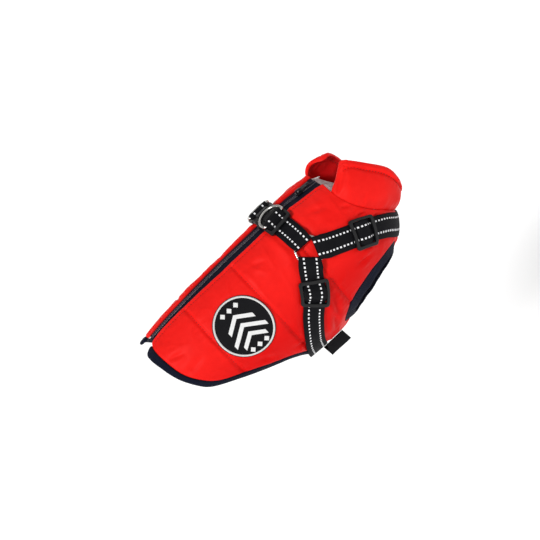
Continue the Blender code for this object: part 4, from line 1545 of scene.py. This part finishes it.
@dataclass
class Collar:
    """Padded stand collar round the neck seam, open at the nape, with a stitched rim."""

    room: Workroom
    end: float = 36.0
    margin: float = 7.0
    round: float = 9.0
    ear_round: float = 12.0
    flap_round: float = 6.0
    tuck: float = 5.0
    groove: float = 0.84  # part of the way up at which the rim is stitched
    tall: float = 46.0
    per_degree: float = 0.85  # millimetres round the neck for each degree
    rim_centre: Triple = (109.0, 0.0, -34.0)
    rim_up: Triple = (-18.0, 0.0, 41.5)
    rim_side: Triple = (0.0, -39.0, 0.0)
    counts: tuple[int, int] = (230, 120)
    # distance inside the end seam, and the most that the padding stands out and in there
    padded_out: Rows = (
        (-7.0, -4.5, -2.0, 0.0, 1.2, 3.5, 9.0), (2.6, 3.6, 3.4, 1.5, 3.4, 5.8, 8.0),
    )
    padded_in: Rows = ((-7.0, -3.0, 0.0, 1.5, 5.0), (2.2, 2.6, 1.4, 2.8, 6.0))
    # angle, how far the rim leans forward, an outward bulge, how much higher it stands
    lean: Rows = (
        (36.0, -2.5, 0.0, 10.0), (47.0, 2.5, 0.0, 8.0), (62.0, 9.5, 0.0, 4.5),
        (85.0, 18.0, 0.0, 0.0), (110.0, 14.0, 0.0, -1.5), (140.0, 5.0, -2.0, -1.0),
        (180.0, 0.0, -4.0, 0.0), (220.0, 0.0, -3.0, 0.0), (262.0, -1.5, 0.0, 0.0),
        (284.0, 1.5, 2.0, 4.0), (304.0, 1.5, 4.5, 5.0), (324.0, -1.0, 7.0, 2.0),
    )
    # part of the way up the wall and distance out of its middle, round the section
    profile: Rows = (
        (-0.025, 1.9), (0.10, 4.3), (0.28, 6.6), (0.54, 7.0), (0.76, 5.4), (0.84, 2.5), (0.91, 4.5),
        (1.0, 2.6), (1.02, 0.0), (1.0, -2.2), (0.93, -3.4), (0.84, -2.4), (0.74, -3.8),
        (0.52, -4.6), (0.28, -4.2), (0.10, -2.6), (0.0, -1.0),
    )

    def wall(self, t: Array, rise: Array, thick: Array, lift: float = 0.0) -> Array:
        """Points of the padded wall.

        Args:
            t: angles round the neck.
            rise: parts of the way from the neck seam to the rim.
            thick: how far out of the wall's middle.
            lift: how far off the cloth, outwards.

        Returns:
            Points in millimetres.
        """
        form = self.room.form
        near = np.where(t <= 180, t, 360 - t)
        seam = form.neck.at(near)[:, 0] + 1.8 + 1.6 * np.sin(np.radians(t / 2)) ** 4
        foot = form.coat(seam, t, 2.6)
        turn = np.radians(t)[:, None]
        up, side = np.array(self.rim_up), np.array(self.rim_side)
        centre = np.array(self.rim_centre)
        rim = centre + up * np.cos(turn) + side * np.sin(turn)
        forward, more, higher = Curve(self.lean).at(t).T
        rim[:, 0] += forward
        rim[:, 2] += higher
        away = np.minimum(t - self.end, 360 - self.end - t) * self.per_degree
        corner = np.where(t > 180, self.ear_round, self.flap_round)
        cut = np.clip(corner - away, 0, None)
        drop = (corner - np.sqrt(np.maximum(corner**2 - cut**2, 0))) / self.tall
        rim -= (rim - foot) * drop[:, None]
        height = rim - foot
        tangent = -up * np.sin(turn) + side * np.cos(turn)
        out = np.cross(height, tangent)
        out /= np.linalg.norm(out, axis=1, keepdims=True)
        out *= np.where(np.sum(out * (rim - centre), 1, keepdims=True) < 0, -1, 1)
        beside = np.clip(self.round - (away - self.margin), 0, None)
        below = np.clip(self.round - (self.groove - rise) * self.tall, 0, None)
        pad = self.round - np.hypot(beside, below)
        most = np.interp(pad, *self.padded_out)
        least = -np.interp(pad, *self.padded_in)
        near_end = away < self.margin + 2 * self.round
        thick = np.where(near_end, np.clip(thick, least, most), thick)
        puff = np.interp(away, [0, 0.4, 1.1, 2.0], [0.12, 0.45, 0.85, 1.0])
        body = bell(rise - 0.42, 0.34)
        around = t * self.per_degree
        flat = pair(around, rise * self.tall)
        fold = 0.10 * np.sin(np.radians(t) * 9) * body
        wide = 0.22 * soft_noise(flat, (26.0, 30.0), 41) * body
        at_foot, at_groove = bell(rise, 0.22), bell(rise - self.groove, 0.13)
        pulled = 0.34 * soft_noise(pair(around / 5.5, rise * 1.6), 1.0, 43) * at_foot
        pulled += 0.3 * soft_noise(pair(around / 5.0, rise * 2.0), 1.0, 45) * at_groove
        inside = smooth_step(-thick, 0.5, 2.5)
        pulled += 0.5 * inside * soft_noise(pair(around / 9.0, rise * 1.4), 1.0, 47)
        bulge = thick * puff * (1.0 + fold + wide + pulled)
        bulge = bulge + more * np.sin(np.pi * np.clip(rise, 0, 1) ** 0.8)
        fold = np.clip(1 - away / self.margin, 0, None) ** 1.4 * np.where(t < 180, self.tuck, 0.0)
        bulge = bulge - fold * smooth_step(rise, 0.05, 0.5) + lift
        drawn = bell(away - 6.0, 4.5) * smooth_step(rise, 0.5, 0.78) * (t < 180)
        bulge = bulge + 0.7 * drawn * np.sin(1.5 * away + 15.0 * rise) * np.sign(thick)
        return foot + height * rise[:, None] + out * bulge[:, None]

    def build(self) -> None:
        """Makes the collar."""
        curve = ClosedCurve(self.profile)

        def place(u: Array, v: Array) -> Pair:
            t = self.end + (360 - 2 * self.end) * u
            rise, thick = curve.at(v).T
            # on the inner face the UV value passes the finish's limit and gets painted shade; over the
            # last 2.5 degrees at the end it is held below that limit
            bare = (t > 357.5 - self.end) & (v > 0.5)
            uv = pair(t * self.per_degree, np.where(bare, 55.0, v * 110.0))
            return self.wall(t, rise, thick), uv

        piece = cloth_grid("collar_padded", self.counts, place, closed=True)
        self.room.keep(piece, "taffeta_collar", "nylon_red", ["collar"])

    def sew(self) -> None:
        """Lays the stitches below the rim and down both ends, outside and inside."""
        turn = np.radians(np.linspace(180, 90, 14))
        deep = self.groove - self.round / self.tall
        along = (self.margin + self.round * (1 + np.cos(turn))) / self.per_degree
        bend = deep + self.round / self.tall * np.sin(turn)
        level = np.linspace(self.end + along[-1], 360 - self.end - along[-1], 280)
        start = np.full(16, self.end + along[0])
        t = np.concatenate([start, self.end + along, level, 360 - self.end - along[::-1], 360 - start])
        climb = np.linspace(0.12, deep, 16)
        rise = np.concatenate([climb, bend, np.full(280, self.groove), bend[::-1], climb[::-1]])
        rows, outs = [], []
        for thick, way in ((2.5, 1.0), (-2.4, -1.0)):
            line = self.wall(t, rise, np.full_like(t, thick), 0.12 * way)
            beyond = self.wall(t, rise, np.full_like(t, thick), 1.0 * way)
            rows.append(line)
            outs.append(beyond - line)
        Seamstress(self.room).sew(
            "collar_stitches", np.concatenate(rows), np.concatenate(outs), lines=[len(t)]
        )


# ---------------- harness


@dataclass
class HarnessSizes:
    """Real sizes of the webbing and of the hardware that it passes through."""

    half: float = 12.5
    ring_half: float = 11.7
    glides: tuple[tuple[str, float], ...] = (("chest", 64.5), ("belly", 47.0))
    wall: float = 1.3
    ring_radius: float = 14.5
    wire: float = 1.4
    ring_height: float = 8.1
    loop_inner: float = 7.6
    loop_length: float = 14.4
    glide_bar_top: float = 3.6
    glide_reach: float = 3.5
    glide_end: float = 9.7
    buckle_end: float = 32.0
    end_bar: float = 27.8
    loop_bar: tuple[float, float] = (17.0, 21.0)
    dee_height: float = 7.4


@dataclass
class Straps:
    """The four lengths of webbing: two over the back, one round the chest, one round the belly."""

    room: Workroom
    sizes: HarnessSizes = field(default_factory=HarnessSizes)
    step: float = 1.3

    def ring_turn(self, end: float, sign: int, lift: float = 0.0) -> list[tuple[float, float]]:
        """Side view of webbing that comes from under a junction ring and folds back over it.

        Args:
            end: where the ring's centre is along the track.
            sign: which way the webbing runs from the ring.
            lift: how much higher this fold lies.

        Returns:
            Distances along the track and heights.
        """
        z = self.sizes
        low = z.wall / 2
        high = z.ring_height - SKIN + z.wire + 0.2 + low + lift
        inner, outer = z.loop_inner, z.loop_inner + z.loop_length
        turn, middle = (high - low) / 2, (high + low) / 2
        bend = [
            (inner + turn - turn * math.sin(math.radians(a)), middle - turn * math.cos(math.radians(a)))
            for a in range(20, 180, 20)
        ]
        side_view = [(outer + 4, low), (outer - 4, low), (inner + turn, low), *bend]
        side_view += [(inner + turn, high), (outer - 4.0, high - 0.2)]
        return [(end + sign * q, h) for q, h in side_view]

    def strip(self, name: str, track: Track, route: Rows, nodes: Sequence[str]) -> None:
        """Makes one length of webbing along its side view.

        Args:
            name: the piece's name.
            track: the track that it follows.
            route: distances along the track and heights.
            nodes: the solids that it stands for.
        """
        z = self.sizes
        rows = along_route(route, self.step)
        run = running_length(rows[:, :2])
        ends = (-track.length / 2, track.length / 2)

        def place(u: Array, v: Array) -> Pair:
            at = u * run[-1]
            q, h, nq, nh = (np.interp(at, run, rows[:, k]) for k in range(4))
            away = np.minimum(np.abs(q - ends[0]), np.abs(q - ends[1]))
            half = z.ring_half + (z.half - z.ring_half) * smooth_step(away, 10.0, 18.0)
            across, rise = rounded_strip(half, z.wall, v)
            uv = pair(at, across)
            return track.point(q + nq * rise, across, h + nh * rise), uv

        piece = cloth_grid(name, (len(rows) - 1, 30), place, closed=True)
        self.room.keep(piece, "webbing", "webbing_black", nodes)

    def build_back(self, side: Side) -> None:
        """Makes the short strap from a junction ring to the buckle, round the D-ring's bar.

        Args:
            side: the half of the coat.
        """
        z, track = self.sizes, self.room.tracks["back"]
        half = track.length / 2
        sign = -side.value
        low = z.wall / 2
        bar0, bar1 = z.loop_bar
        top = z.dee_height + z.wire + 0.25 + low
        route = self.ring_turn(half, -1)
        route += [(half - z.loop_inner - z.loop_length - 2.0, 2.1), (z.buckle_end + 5.0, 1.5)]
        route += [(z.end_bar + 0.8, 1.5), (z.end_bar - 1.6, 2.2)]
        route += [(bar1 + 2.0, 6.6), (bar1 + 0.7, top - 0.5)]
        route += [(bar1 - 1.2, top), (bar0 + 0.8, top), (bar0 - 0.8, top - 1.0), (bar0 - 1.7, 6.4)]
        route += [(bar0 - 1.7, 2.2), (bar0 - 0.6, 0.9), (bar0 + 1.6, 0.5), (bar1 + 1.5, 0.5)]
        route = [(sign * q, h) for q, h in route]
        self.strip(f"back_strap_{side.label}_webbing", track, route, [f"back_strap_{side.label}"])

    def build_long(self, name: str, glide: float) -> None:
        """Makes a strap that runs under the body from one junction ring to the other.

        Args:
            name: chest or belly.
            glide: where its sliders are, from the ring.
        """
        z, track = self.sizes, self.room.tracks[name]
        half = track.length / 2
        low = z.wall / 2
        high = z.glide_bar_top + 0.3 + low
        over = z.loop_inner + z.loop_length + 1.5
        middle = glide - half
        hump = [(middle - z.glide_end, low), (middle - z.glide_reach, high)]
        hump += [(middle + z.glide_reach, high), (middle + z.glide_end, low)]
        first = self.ring_turn(-half, 1, 0.5 if name == "chest" else 0.0)
        route = first + [(over - half, 2.1), (over - half + 6.0, low)]
        route += hump + [(0.0, low)]
        route += [(-q, h) for q, h in route[-2::-1]]
        self.strip(f"{name}_strap_webbing", track, route, [f"{name}_strap"])

    def build(self) -> None:
        """Makes all the webbing."""
        for side in Side:
            self.build_back(side)
        for name, glide in self.sizes.glides:
            self.build_long(name, glide)


@dataclass
class WireRings:
    """Round junction rings and the D-rings, bent from plated wire."""

    room: Workroom
    sizes: HarnessSizes = field(default_factory=HarnessSizes)
    dee_at: float = 19.3
    dee_half: float = 14.8
    dee_arm: float = 5.0
    ring_place: tuple[float, float] = (0.0, 55.0)

    def build_round(self, side: Side) -> None:
        """Makes a junction ring.

        Args:
            side: the half of the coat.
        """
        form, z = self.room.form, self.sizes
        station, angle = self.ring_place
        one = np.array([station]), np.array([side.value * angle])
        scale = float(np.linalg.norm(form.directions(*one)[1]))

        def place(u: Array, v: Array) -> Pair:
            turn, roll = math.tau * u, math.tau * v
            radius = z.ring_radius + z.wire * np.cos(roll)
            s = station + radius * np.cos(turn)
            t = angle + radius * np.sin(turn) / scale
            uv = pair(turn * z.ring_radius, roll * z.wire)
            return form.coat(s, side.value * t, z.ring_height + z.wire * np.sin(roll)), uv

        piece = cloth_grid(f"junction_ring_{side.label}_wire", (96, 16), place, closed=True)
        self.room.keep(piece, "steel", "steel", [f"junction_ring_{side.label}"])

    def build_dee(self, side: Side, lie: int) -> None:
        """Makes a D-ring.

        Args:
            side: the half of the coat.
            lie: 1 where it lies towards the spine, -1 where it lies outwards.
        """
        track, z = self.room.tracks["back"], self.sizes
        sign = -side.value
        at, low, high = track.point(sign * self.dee_at, np.array([0.0, -5.0, 5.0]), z.dee_height)
        axis = (high - low) / np.linalg.norm(high - low)
        depth = self.dee_arm + self.dee_half
        drop = 1.4 if lie > 0 else 2.2
        aim = track.point(sign * (self.dee_at - lie * depth), 0.0, z.dee_height + drop)
        reach = aim - at
        reach = reach - axis * (reach @ axis)
        reach /= np.linalg.norm(reach)
        normal = np.cross(axis, reach)
        corner = 2.2
        straight = self.dee_half - corner
        path = [pair(np.linspace(-straight, straight, 12), np.zeros(12))]
        a = np.linspace(0.1, math.pi / 2, 7)
        path.append(pair(straight + corner * np.sin(a), corner - corner * np.cos(a)))
        a = np.linspace(0, math.pi, 40)
        path.append(pair(self.dee_half * np.cos(a), self.dee_arm + self.dee_half * np.sin(a)))
        a = np.linspace(0.0, math.pi / 2 - 0.1, 7)
        path.append(pair(-straight - corner * np.cos(a), corner - corner * np.sin(a)))
        line = np.concatenate(path)
        line = np.concatenate([line, line[:1]])
        run = running_length(line)

        def place(u: Array, v: Array) -> Pair:
            along = u * run[-1]
            x, y = (np.interp(along, run, line[:, k]) for k in range(2))
            ahead, behind = (along + 0.8) % run[-1], (along - 0.8) % run[-1]
            dx, dy = (
                np.interp(ahead, run, line[:, k]) - np.interp(behind, run, line[:, k]) for k in range(2)
            )
            size = np.hypot(dx, dy)
            roll = math.tau * v
            flat = z.wire * np.cos(roll)
            x, y = x + dy / size * flat, y - dx / size * flat
            rise = z.wire * np.sin(roll)
            points = at + axis * x[:, None] + reach * y[:, None] + normal * rise[:, None]
            return points, pair(along, roll * z.wire)

        piece = cloth_grid(f"d_ring_{side.label}_wire", (110, 16), place, closed=True)
        self.room.keep(piece, "steel", "steel", [f"d_ring_{side.label}"], f"ring_{side.label}")

    def build(self) -> None:
        """Makes all four rings."""
        for side in Side:
            self.build_round(side)
        self.build_dee(Side.RIGHT, 1)
        self.build_dee(Side.LEFT, -1)


@dataclass
class Mouldings:
    """Moulded plastic: four three-bar sliders and the two halves of the side-release buckle."""

    room: Workroom
    half: float = 14.5
    wide: float = 16.0
    rail: float = 3.3
    end: float = 3.6
    low: float = 1.6
    top: float = 4.6
    bar: float = 2.6
    bar_top: float = 3.6
    sizes: HarnessSizes = field(default_factory=HarnessSizes)

    def slider(self, strap: str, side: Side, glide: float) -> None:
        """Makes one slider on its webbing.

        Args:
            strap: chest or belly.
            side: the half of the coat.
            glide: where it is, from the junction ring.
        """
        inner, rail = self.half - self.end, self.wide - self.rail
        lines = ((-self.half, -inner, inner, self.half), (-self.wide, -rail, rail, self.wide))
        bm = barred_plate(lines, [(1, 1)], self.low, self.top)

        def outer(edge: bmesh.types.BMEdge) -> bool:
            return upright(edge) and abs(edge.verts[0].co.x) > inner + 0.5

        def inside(edge: bmesh.types.BMEdge) -> bool:
            x, y, _ = edge.verts[0].co
            return upright(edge) and abs(x) < inner + 0.1 and abs(y) < rail + 0.1

        round_edges(bm, 4.2, 6, outer)
        round_edges(bm, 1.6, 4, inside)
        round_edges(bm, 0.8, 3)
        span = (-self.bar, self.bar, -rail - 0.4, rail + 0.4, self.low, self.bar_top)
        join_into(bm, rounded_block(span, 0, 0.6))
        cut_lines(bm, 1, [-12, -9, -6, -3, 0, 3, 6, 9, 12])
        cut_lines(bm, 0, [-8, -4, 0, 4, 8])
        track = self.room.tracks[strap]
        middle = side.value * (glide - track.length / 2)
        self.mould(bm, f"{strap}_slider_{side.label}", track, middle, 1.0)

    def mould(self, bm: bmesh.types.BMesh, name: str, track: Track, at: float, way: float) -> None:
        """Sets a moulding on its webbing.

        Args:
            bm: its flat model.
            name: the solid that it stands for.
            track: the webbing's track.
            at: where its middle is along the track.
            way: 1, or -1 to turn it end for end.
        """

        def place(flat: Array) -> Array:
            return track.point(at + way * flat[:, 0], flat[:, 1], flat[:, 2])

        piece = set_in_place(bm, f"{name}_moulded", place)
        self.room.keep(piece, "acetal", "plastic_black", [name])

    def end_frame(self) -> bmesh.types.BMesh:
        """Makes the barred end of a buckle half, which its webbing loops through.

        Returns:
            The frame's geometry.
        """
        rail = self.wide - self.rail
        lines = ((11.0, 13.0, 17.0, 21.0, 27.8, 32.0), (-self.wide, -rail, rail, self.wide))
        bm = barred_plate(lines, [(1, 1), (3, 1)], 2.4, 5.7)
        round_edges(bm, 5.0, 7, lambda edge: upright(edge) and edge.verts[0].co.x > 31.0)
        round_edges(bm, 1.3, 4, lambda edge: upright(edge) and 12 < edge.verts[0].co.x < 31.0)
        round_edges(bm, 0.8, 3)
        return bm

    def buckle_half(self, socket: bool) -> None:
        """Makes the socket, on the right, or the plug with its three prongs.

        Args:
            socket: which half.
        """
        bm = self.end_frame()
        wide = self.wide if socket else self.wide - 1.0
        start = 1.0 if socket else 0.3
        join_into(bm, rounded_block((start, 13.4, -wide, wide, 0.7, 5.7), 2.2, 1.1))
        join_into(bm, rounded_block((start + 4.6, 12.9, -8.2, 8.2, 4.4, 7.4), 2.4, 1.1))
        join_into(bm, rounded_block((start + 1.6, start + 2.6, -9.0, 9.0, 5.2, 6.2), 0, 0.35))
        if not socket:
            join_into(bm, rounded_block((-9.5, 0.6, -2.4, 2.4, 2.5, 4.0), 0.8, 0.4))
            for sign in (-1, 1):
                low, high = sorted((sign * 9.6, sign * 12.8))
                join_into(bm, rounded_block((-8.8, 0.6, low, high, 2.5, 4.0), 0, 0.4))
                low, high = sorted((sign * 9.6, sign * 17.6))
                join_into(bm, rounded_block((-8.9, -4.5, low, high, 2.3, 4.3), 1.4, 0.5))
        cut_lines(bm, 1, [-14, -11, -8, -5, -2, 0, 2, 5, 8, 11, 14])
        cut_lines(bm, 0, [4, 8, 12, 16, 20, 24, 28])
        name, way = ("buckle_socket", -1.0) if socket else ("buckle_plug", 1.0)
        self.mould(bm, name, self.room.tracks["back"], 0.0, way)

    def build(self) -> None:
        """Makes the sliders and the buckle."""
        for strap, glide in self.sizes.glides:
            for side in Side:
                self.slider(strap, side, glide)
        self.buckle_half(True)
        self.buckle_half(False)


# ---------------- zip, badge and label


@dataclass
class Zip:
    """Moulded-tooth zip along the spine, closed up to its slider, with a hanging pull tab."""

    room: Workroom
    tail: float = -189.0
    neck: float = 84.0
    pitch: float = 2.6
    tooth: Triple = (1.2, 2.7, 1.7)
    slider_at: float = 46.0
    tape_wall: float = 0.8

    def place(self, flat: Array, start: float) -> Array:
        """Points of a piece that was modelled flat over the spine, from a station on."""
        s = start + flat[:, 0]
        points = self.room.form.coat(s, np.zeros_like(s), flat[:, 2])
        points[:, 1] += flat[:, 1]
        return points

    def build_tape(self, side: Side) -> None:
        """Makes one woven tape.

        Args:
            side: the half of the coat.
        """
        form = self.room.form

        def place(u: Array, v: Array) -> Pair:
            s = self.tail + (self.neck - self.tail) * u
            near = form.angle_at_gap(s, 1.2)
            far = form.angle_at_gap(s, form.zip_gap.at(s)[:, 0] + 0.4)
            t = near + (far - near) * v
            height = 2.6 - 0.5 * smooth_step(v, 0.85, 1.0)
            return form.coat(s, side.value * t, height), pair(s, v * 10.0 * side.value)

        piece = cloth_grid(f"zip_tape_{side.label}_woven", (180, 10), place)
        give_wall(piece, self.tape_wall)
        self.room.keep(piece, "tape", "rib_navy", [f"zip_tape_{side.label}"])

    def build_teeth(self) -> None:
        """Makes the two rows of teeth, meshed up to the slider and parted beyond it."""
        bm = bmesh.new()
        count = int((self.neck - self.tail) / self.pitch)
        for k in range(count):
            for side in (-1, 1):
                s = self.tail + 1.0 + (k + (0.25 if side > 0 else -0.25) + 0.5) * self.pitch
                parted = 1.5 * float(smooth_step(s, self.slider_at, self.slider_at + 22))
                place = Matrix.Translation((s, side * (1.2 + parted), 2.95))
                place = place @ Matrix.Diagonal((*self.tooth, 1.0))
                bmesh.ops.create_cube(bm, size=1.0, matrix=place)
        round_edges(bm, 0.28, 1)
        piece = set_in_place(bm, "zip_teeth_moulded", lambda flat: self.place(flat, 0.0), smooth=False)
        self.room.keep(piece, "teeth", "plastic_black", ["zip_coil"])

    def build_slider(self) -> None:
        """Makes the slider's body and the bridge that holds its pull tab."""
        bm = rounded_block((-6.3, 6.3, -4.5, 4.5, 4.05, 5.3), 2.6, 0.45)
        for v in bm.verts:
            v.co.y *= 1.0 - 0.22 * (6.3 - v.co.x) / 12.6
        for sign in (-1, 1):
            low, high = sorted((sign * 3.2, sign * 4.3))
            join_into(bm, rounded_block((-5.0, 5.2, low, high, 2.95, 4.3), 0, 0.25))
        join_into(bm, rounded_block((-4.0, 4.5, -1.15, 1.15, 8.0, 8.8), 0, 0.3))
        join_into(bm, rounded_block((-4.0, -1.9, -1.15, 1.15, 5.1, 8.4), 0, 0.3))
        join_into(bm, rounded_block((3.1, 4.5, -1.15, 1.15, 5.1, 8.4), 0, 0.3))
        piece = set_in_place(bm, "zip_slider_cast", lambda flat: self.place(flat, self.slider_at))
        self.room.keep(piece, "gunmetal", "plastic_black", ["zip_slider"])

    def build_pull(self) -> None:
        """Makes the pull tab, an eye at one end and a slot at the other."""
        lines = ((0.6, 2.2, 6.4, 16.6, 20.4, 23.0), (-3.4, -1.6, 1.6, 3.4))
        bm = barred_plate(lines, [(1, 1), (3, 1)], 6.05, 7.15)
        round_edges(bm, 2.4, 5, lambda edge: upright(edge) and edge.verts[0].co.x > 22.5)
        round_edges(bm, 1.0, 3, lambda edge: upright(edge) and edge.verts[0].co.x < 0.8)
        round_edges(bm, 0.28, 2)
        piece = set_in_place(bm, "zip_pull_cast", lambda flat: self.place(flat, self.slider_at))
        self.room.keep(piece, "gunmetal", "plastic_black", ["zip_pull"], "zip_pull_tab")

    def build(self) -> None:
        """Makes the whole zip."""
        for side in Side:
            self.build_tape(side)
        self.build_teeth()
        self.build_slider()
        self.build_pull()


@dataclass
class Badge:
    """Round embroidered badge with an overlocked rim, sewn on the right flank."""

    room: Workroom
    station: float = -106.3
    angle: float = 63.8
    radius: float = 32.7
    rim: float = 2.8
    section: Rows = (
        (0.0, 0.1), (-0.1, 0.9), (0.5, 1.5), (1.1, 1.65), (1.7, 1.4),
        (2.1, 0.8), (2.8, 0.6), (2.8, 0.1), (1.4, 0.0),
    )

    def place(self, radius: Array, turn: Array, height: Number) -> Array:
        """Points of the badge by radius, turn and height over the skin."""
        form = self.room.form
        along, around, _ = form.directions(np.array([self.station]), np.array([self.angle]))
        s = self.station + radius * np.cos(turn) / np.linalg.norm(along)
        t = self.angle + radius * np.sin(turn) / np.linalg.norm(around)
        return form.coat(s, t, SKIN + height)

    def build(self) -> None:
        """Makes the badge's face and its rim."""
        inner = self.radius - self.rim + 0.5

        def face(u: Array, v: Array) -> Pair:
            turn = math.tau * u
            radius = inner * np.maximum(v, 1e-4)
            uv = pair(radius * np.cos(turn), radius * np.sin(turn))
            height = 1.0 + 0.10 * soft_noise(uv, 18.0, 51)
            return self.place(radius, turn, height), uv

        disc = cloth_grid("badge_face", (96, 36), face)
        bm = bmesh.new()
        bm.from_mesh(disc.data)
        bmesh.ops.remove_doubles(bm, verts=bm.verts, dist=2e-5)
        bm.to_mesh(disc.data)
        bm.free()
        give_wall(disc, 0.9, Vector((-0.1, 0.0, -0.07)))
        self.room.keep(disc, "embroidery", "patch_black", ["patch_disc"])
        curve = ClosedCurve(self.section)

        def edge(u: Array, v: Array) -> Pair:
            turn = math.tau * u
            out, rise = curve.at(v).T
            radius = self.radius - self.rim + out
            return self.place(radius, turn, rise), pair(turn * self.radius, out)

        ring = cloth_grid("badge_rim_overlocked", (200, 20), edge, closed=True)
        self.room.keep(ring, "overlock", "patch_white", ["patch_rim"])


@dataclass
class BareLabel:
    """Folded woven label, left bare, hanging from the belly strap's seam."""

    room: Workroom
    ends: tuple[float, float] = (-57.5, -28.5)
    angle: float = 147.0
    drop: float = 15.3
    wall: float = 0.9

    def build(self) -> None:
        """Makes the label."""
        form = self.room.form
        top = form.coat(np.array([sum(self.ends) / 2]), np.array([self.angle]), SKIN + 1.7)[0]
        half = self.wall / 2

        def place(u: Array, v: Array) -> Pair:
            down = 1 - np.abs(2 * v - 1)
            opened = np.minimum(1.0, np.sqrt(np.maximum(0, (1 - down) * 14)))
            face = np.where(v < 0.5, -1.0, 1.0) * opened
            open_up = 0.5 * np.sin(np.pi * np.clip((down - 0.3) / 0.7, 0, 1))
            x = self.ends[0] + (self.ends[1] - self.ends[0]) * u + 1.6 * down
            wave = 0.5 * np.sin(u * 5.0 + 0.6) * down
            y = top[1] + face * (half + open_up) - 1.2 * down**2 + wave
            points = np.stack([x, y, top[2] - self.drop * down], -1)
            return points, pair(x, self.drop * 2 * v)

        piece = cloth_grid("label_bare_folded", (30, 40), place, closed=True)
        self.room.keep(piece, "twill", "patch_black", ["label"])


# ---------------- studio


@dataclass
class Studio:
    """Camera at the photograph's angle, white paper below and soft lights round it."""

    target: Triple = (-42.0, 0.0, -44.0)
    station: Triple = (-90.5, -925.7, 449.0)
    yaw: float = 3.0
    roll: tuple[float, float] = (0.7431, 0.6691)
    lens: float = 61.95
    floor_drop: float = 620.0
    sky: float = 0.3
    horizon: tuple[float, float] = (0.22, 0.32)  # how far up the white backdrop reaches

    def camera(self) -> None:
        """Sets the camera, rolled as the photograph is."""
        data = bpy.data.cameras.new("studio_camera")
        data.lens, data.sensor_width = self.lens, 36.0
        data.clip_start, data.clip_end = 0.05, 60.0
        made = bpy.data.objects.new("studio_camera", data)
        bpy.context.scene.collection.objects.link(made)
        back = (Vector(self.station) - Vector(self.target)).normalized()
        yaw = math.radians(self.yaw)
        level = Vector((math.cos(yaw), -math.sin(yaw), 0.0))
        upward = back.cross(level).normalized()
        right = level * self.roll[0] - upward * self.roll[1]
        up = level * self.roll[1] + upward * self.roll[0]
        turn = Matrix((right, up, back)).transposed()
        made.matrix_world = Matrix.Translation(Vector(self.station) * MM) @ turn.to_4x4()
        bpy.context.scene.camera = made

    def light(self, name: str, place: Triple, spread: float, power: float) -> None:
        """Turns one far, soft light on the coat, even over the whole floor.

        Args:
            name: the light's name.
            place: the side that it shines from, in metres.
            spread: how wide it looks, in degrees.
            power: its power, in watts for a square metre.
        """
        data = bpy.data.lights.new(name, "SUN")
        data.angle, data.energy = math.radians(spread), power
        made = bpy.data.objects.new(name, data)
        bpy.context.scene.collection.objects.link(made)
        made.location = place
        back = Vector(place) - Vector(self.target) * MM
        made.rotation_euler = back.to_track_quat("Z", "Y").to_euler()

    def build(self, paper: bpy.types.Material) -> None:
        """Sets floor, lights, sky and camera.

        Args:
            paper: the floor's finish.
        """
        bm = bmesh.new()
        bmesh.ops.create_circle(bm, cap_ends=True, segments=96, radius=40.0)
        bmesh.ops.translate(bm, vec=(0, 0, -self.floor_drop * MM), verts=bm.verts)
        floor = write_mesh(bm, "studio_floor", smooth=False)
        floor.data.materials.append(paper)
        world = bpy.data.worlds.new("studio_sky")
        world.use_nodes = True
        sky = Recipe(world.node_tree, "BACKGROUND")
        sky.feed("Color", linear(WHITE))
        way = sky.add("ShaderNodeTexCoord", {}, "Generated")
        up = sky.add("ShaderNodeSeparateXYZ", {0: way}, 2)
        sky.feed("Strength", sky.ramp(up, self.horizon, (1.0, self.sky)))
        bpy.context.scene.world = world
        self.light("key_soft_light", (-1.1, -0.9, 1.25), 14.0, 2.1)
        self.light("top_soft_light", (0.3, 0.6, 1.7), 40.0, 0.25)
        scene = bpy.context.scene
        scene.view_settings.view_transform = "Standard"
        scene.view_settings.look = "None"
        self.camera()


# ---------------- the whole coat


def mix_finishes() -> dict[str, bpy.types.Material]:
    """Makes every finish once.

    Returns:
        The materials by short name.
    """
    made = {
        "taffeta": Taffeta(),
        # the collar's cloth gets painted shade on its inner face
        "taffeta_collar": Taffeta(name="taffeta_polyester_red_collar", painted_shade_inside_mm=60.0),
        "fleece": Fleece(),
        "rib_knit": RibKnit(),
        "webbing": Webbing(),
        "acetal": MouldedAcetal(),
        # painted highlight: the teeth are black, and their grey colour stands in for the light that they
        # catch
        "teeth": MouldedAcetal(name="zip_teeth_moulded_black_lightened", colour="#3a3a46", specular=0.5),
        "steel": NickelSteel(),
        "gunmetal": NickelSteel(name="zinc_cast_gunmetal", colour="#3a3a40", roughness=0.3),
        "thread_red": Thread(),
        "tape": Twill(name="zip_tape_polyester_navy", colour="#10142a", shade="#070914", rib_mm=0.8),
        "twill": Twill(),
        "embroidery": Embroidery(),
        "overlock": Overlock(),
        "paper": Floor(),
    }
    return {name: finish.build() for name, finish in made.items()}


def main() -> None:
    """Builds the coat's sub-assemblies in order and sets the studio."""
    logging.basicConfig(level=logging.INFO, format="%(name)s: %(message)s")
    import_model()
    form = BodyForm()
    tracks = {
        "back": Track(form, Track.BACK, False),
        "chest": Track(form, Track.CHEST, True),
        "belly": Track(form, Track.BELLY, True),
    }
    room = Workroom(form, tracks, mix_finishes())
    shell = ShellPanels(room)
    for side in Side:
        shell.build(side)
        shell.sew(side)
        LiningPanels(room).build(side)
        HemBinding(room).build(side)
        ArmholeCuff(room).build(side)
    collar = Collar(room)
    collar.build()
    collar.sew()
    Straps(room).build()
    WireRings(room).build()
    Mouldings(room).build()
    Zip(room).build()
    Badge(room).build()
    BareLabel(room).build()
    Studio().build(room.finishes["paper"])


if __name__ == "__main__":
    main()
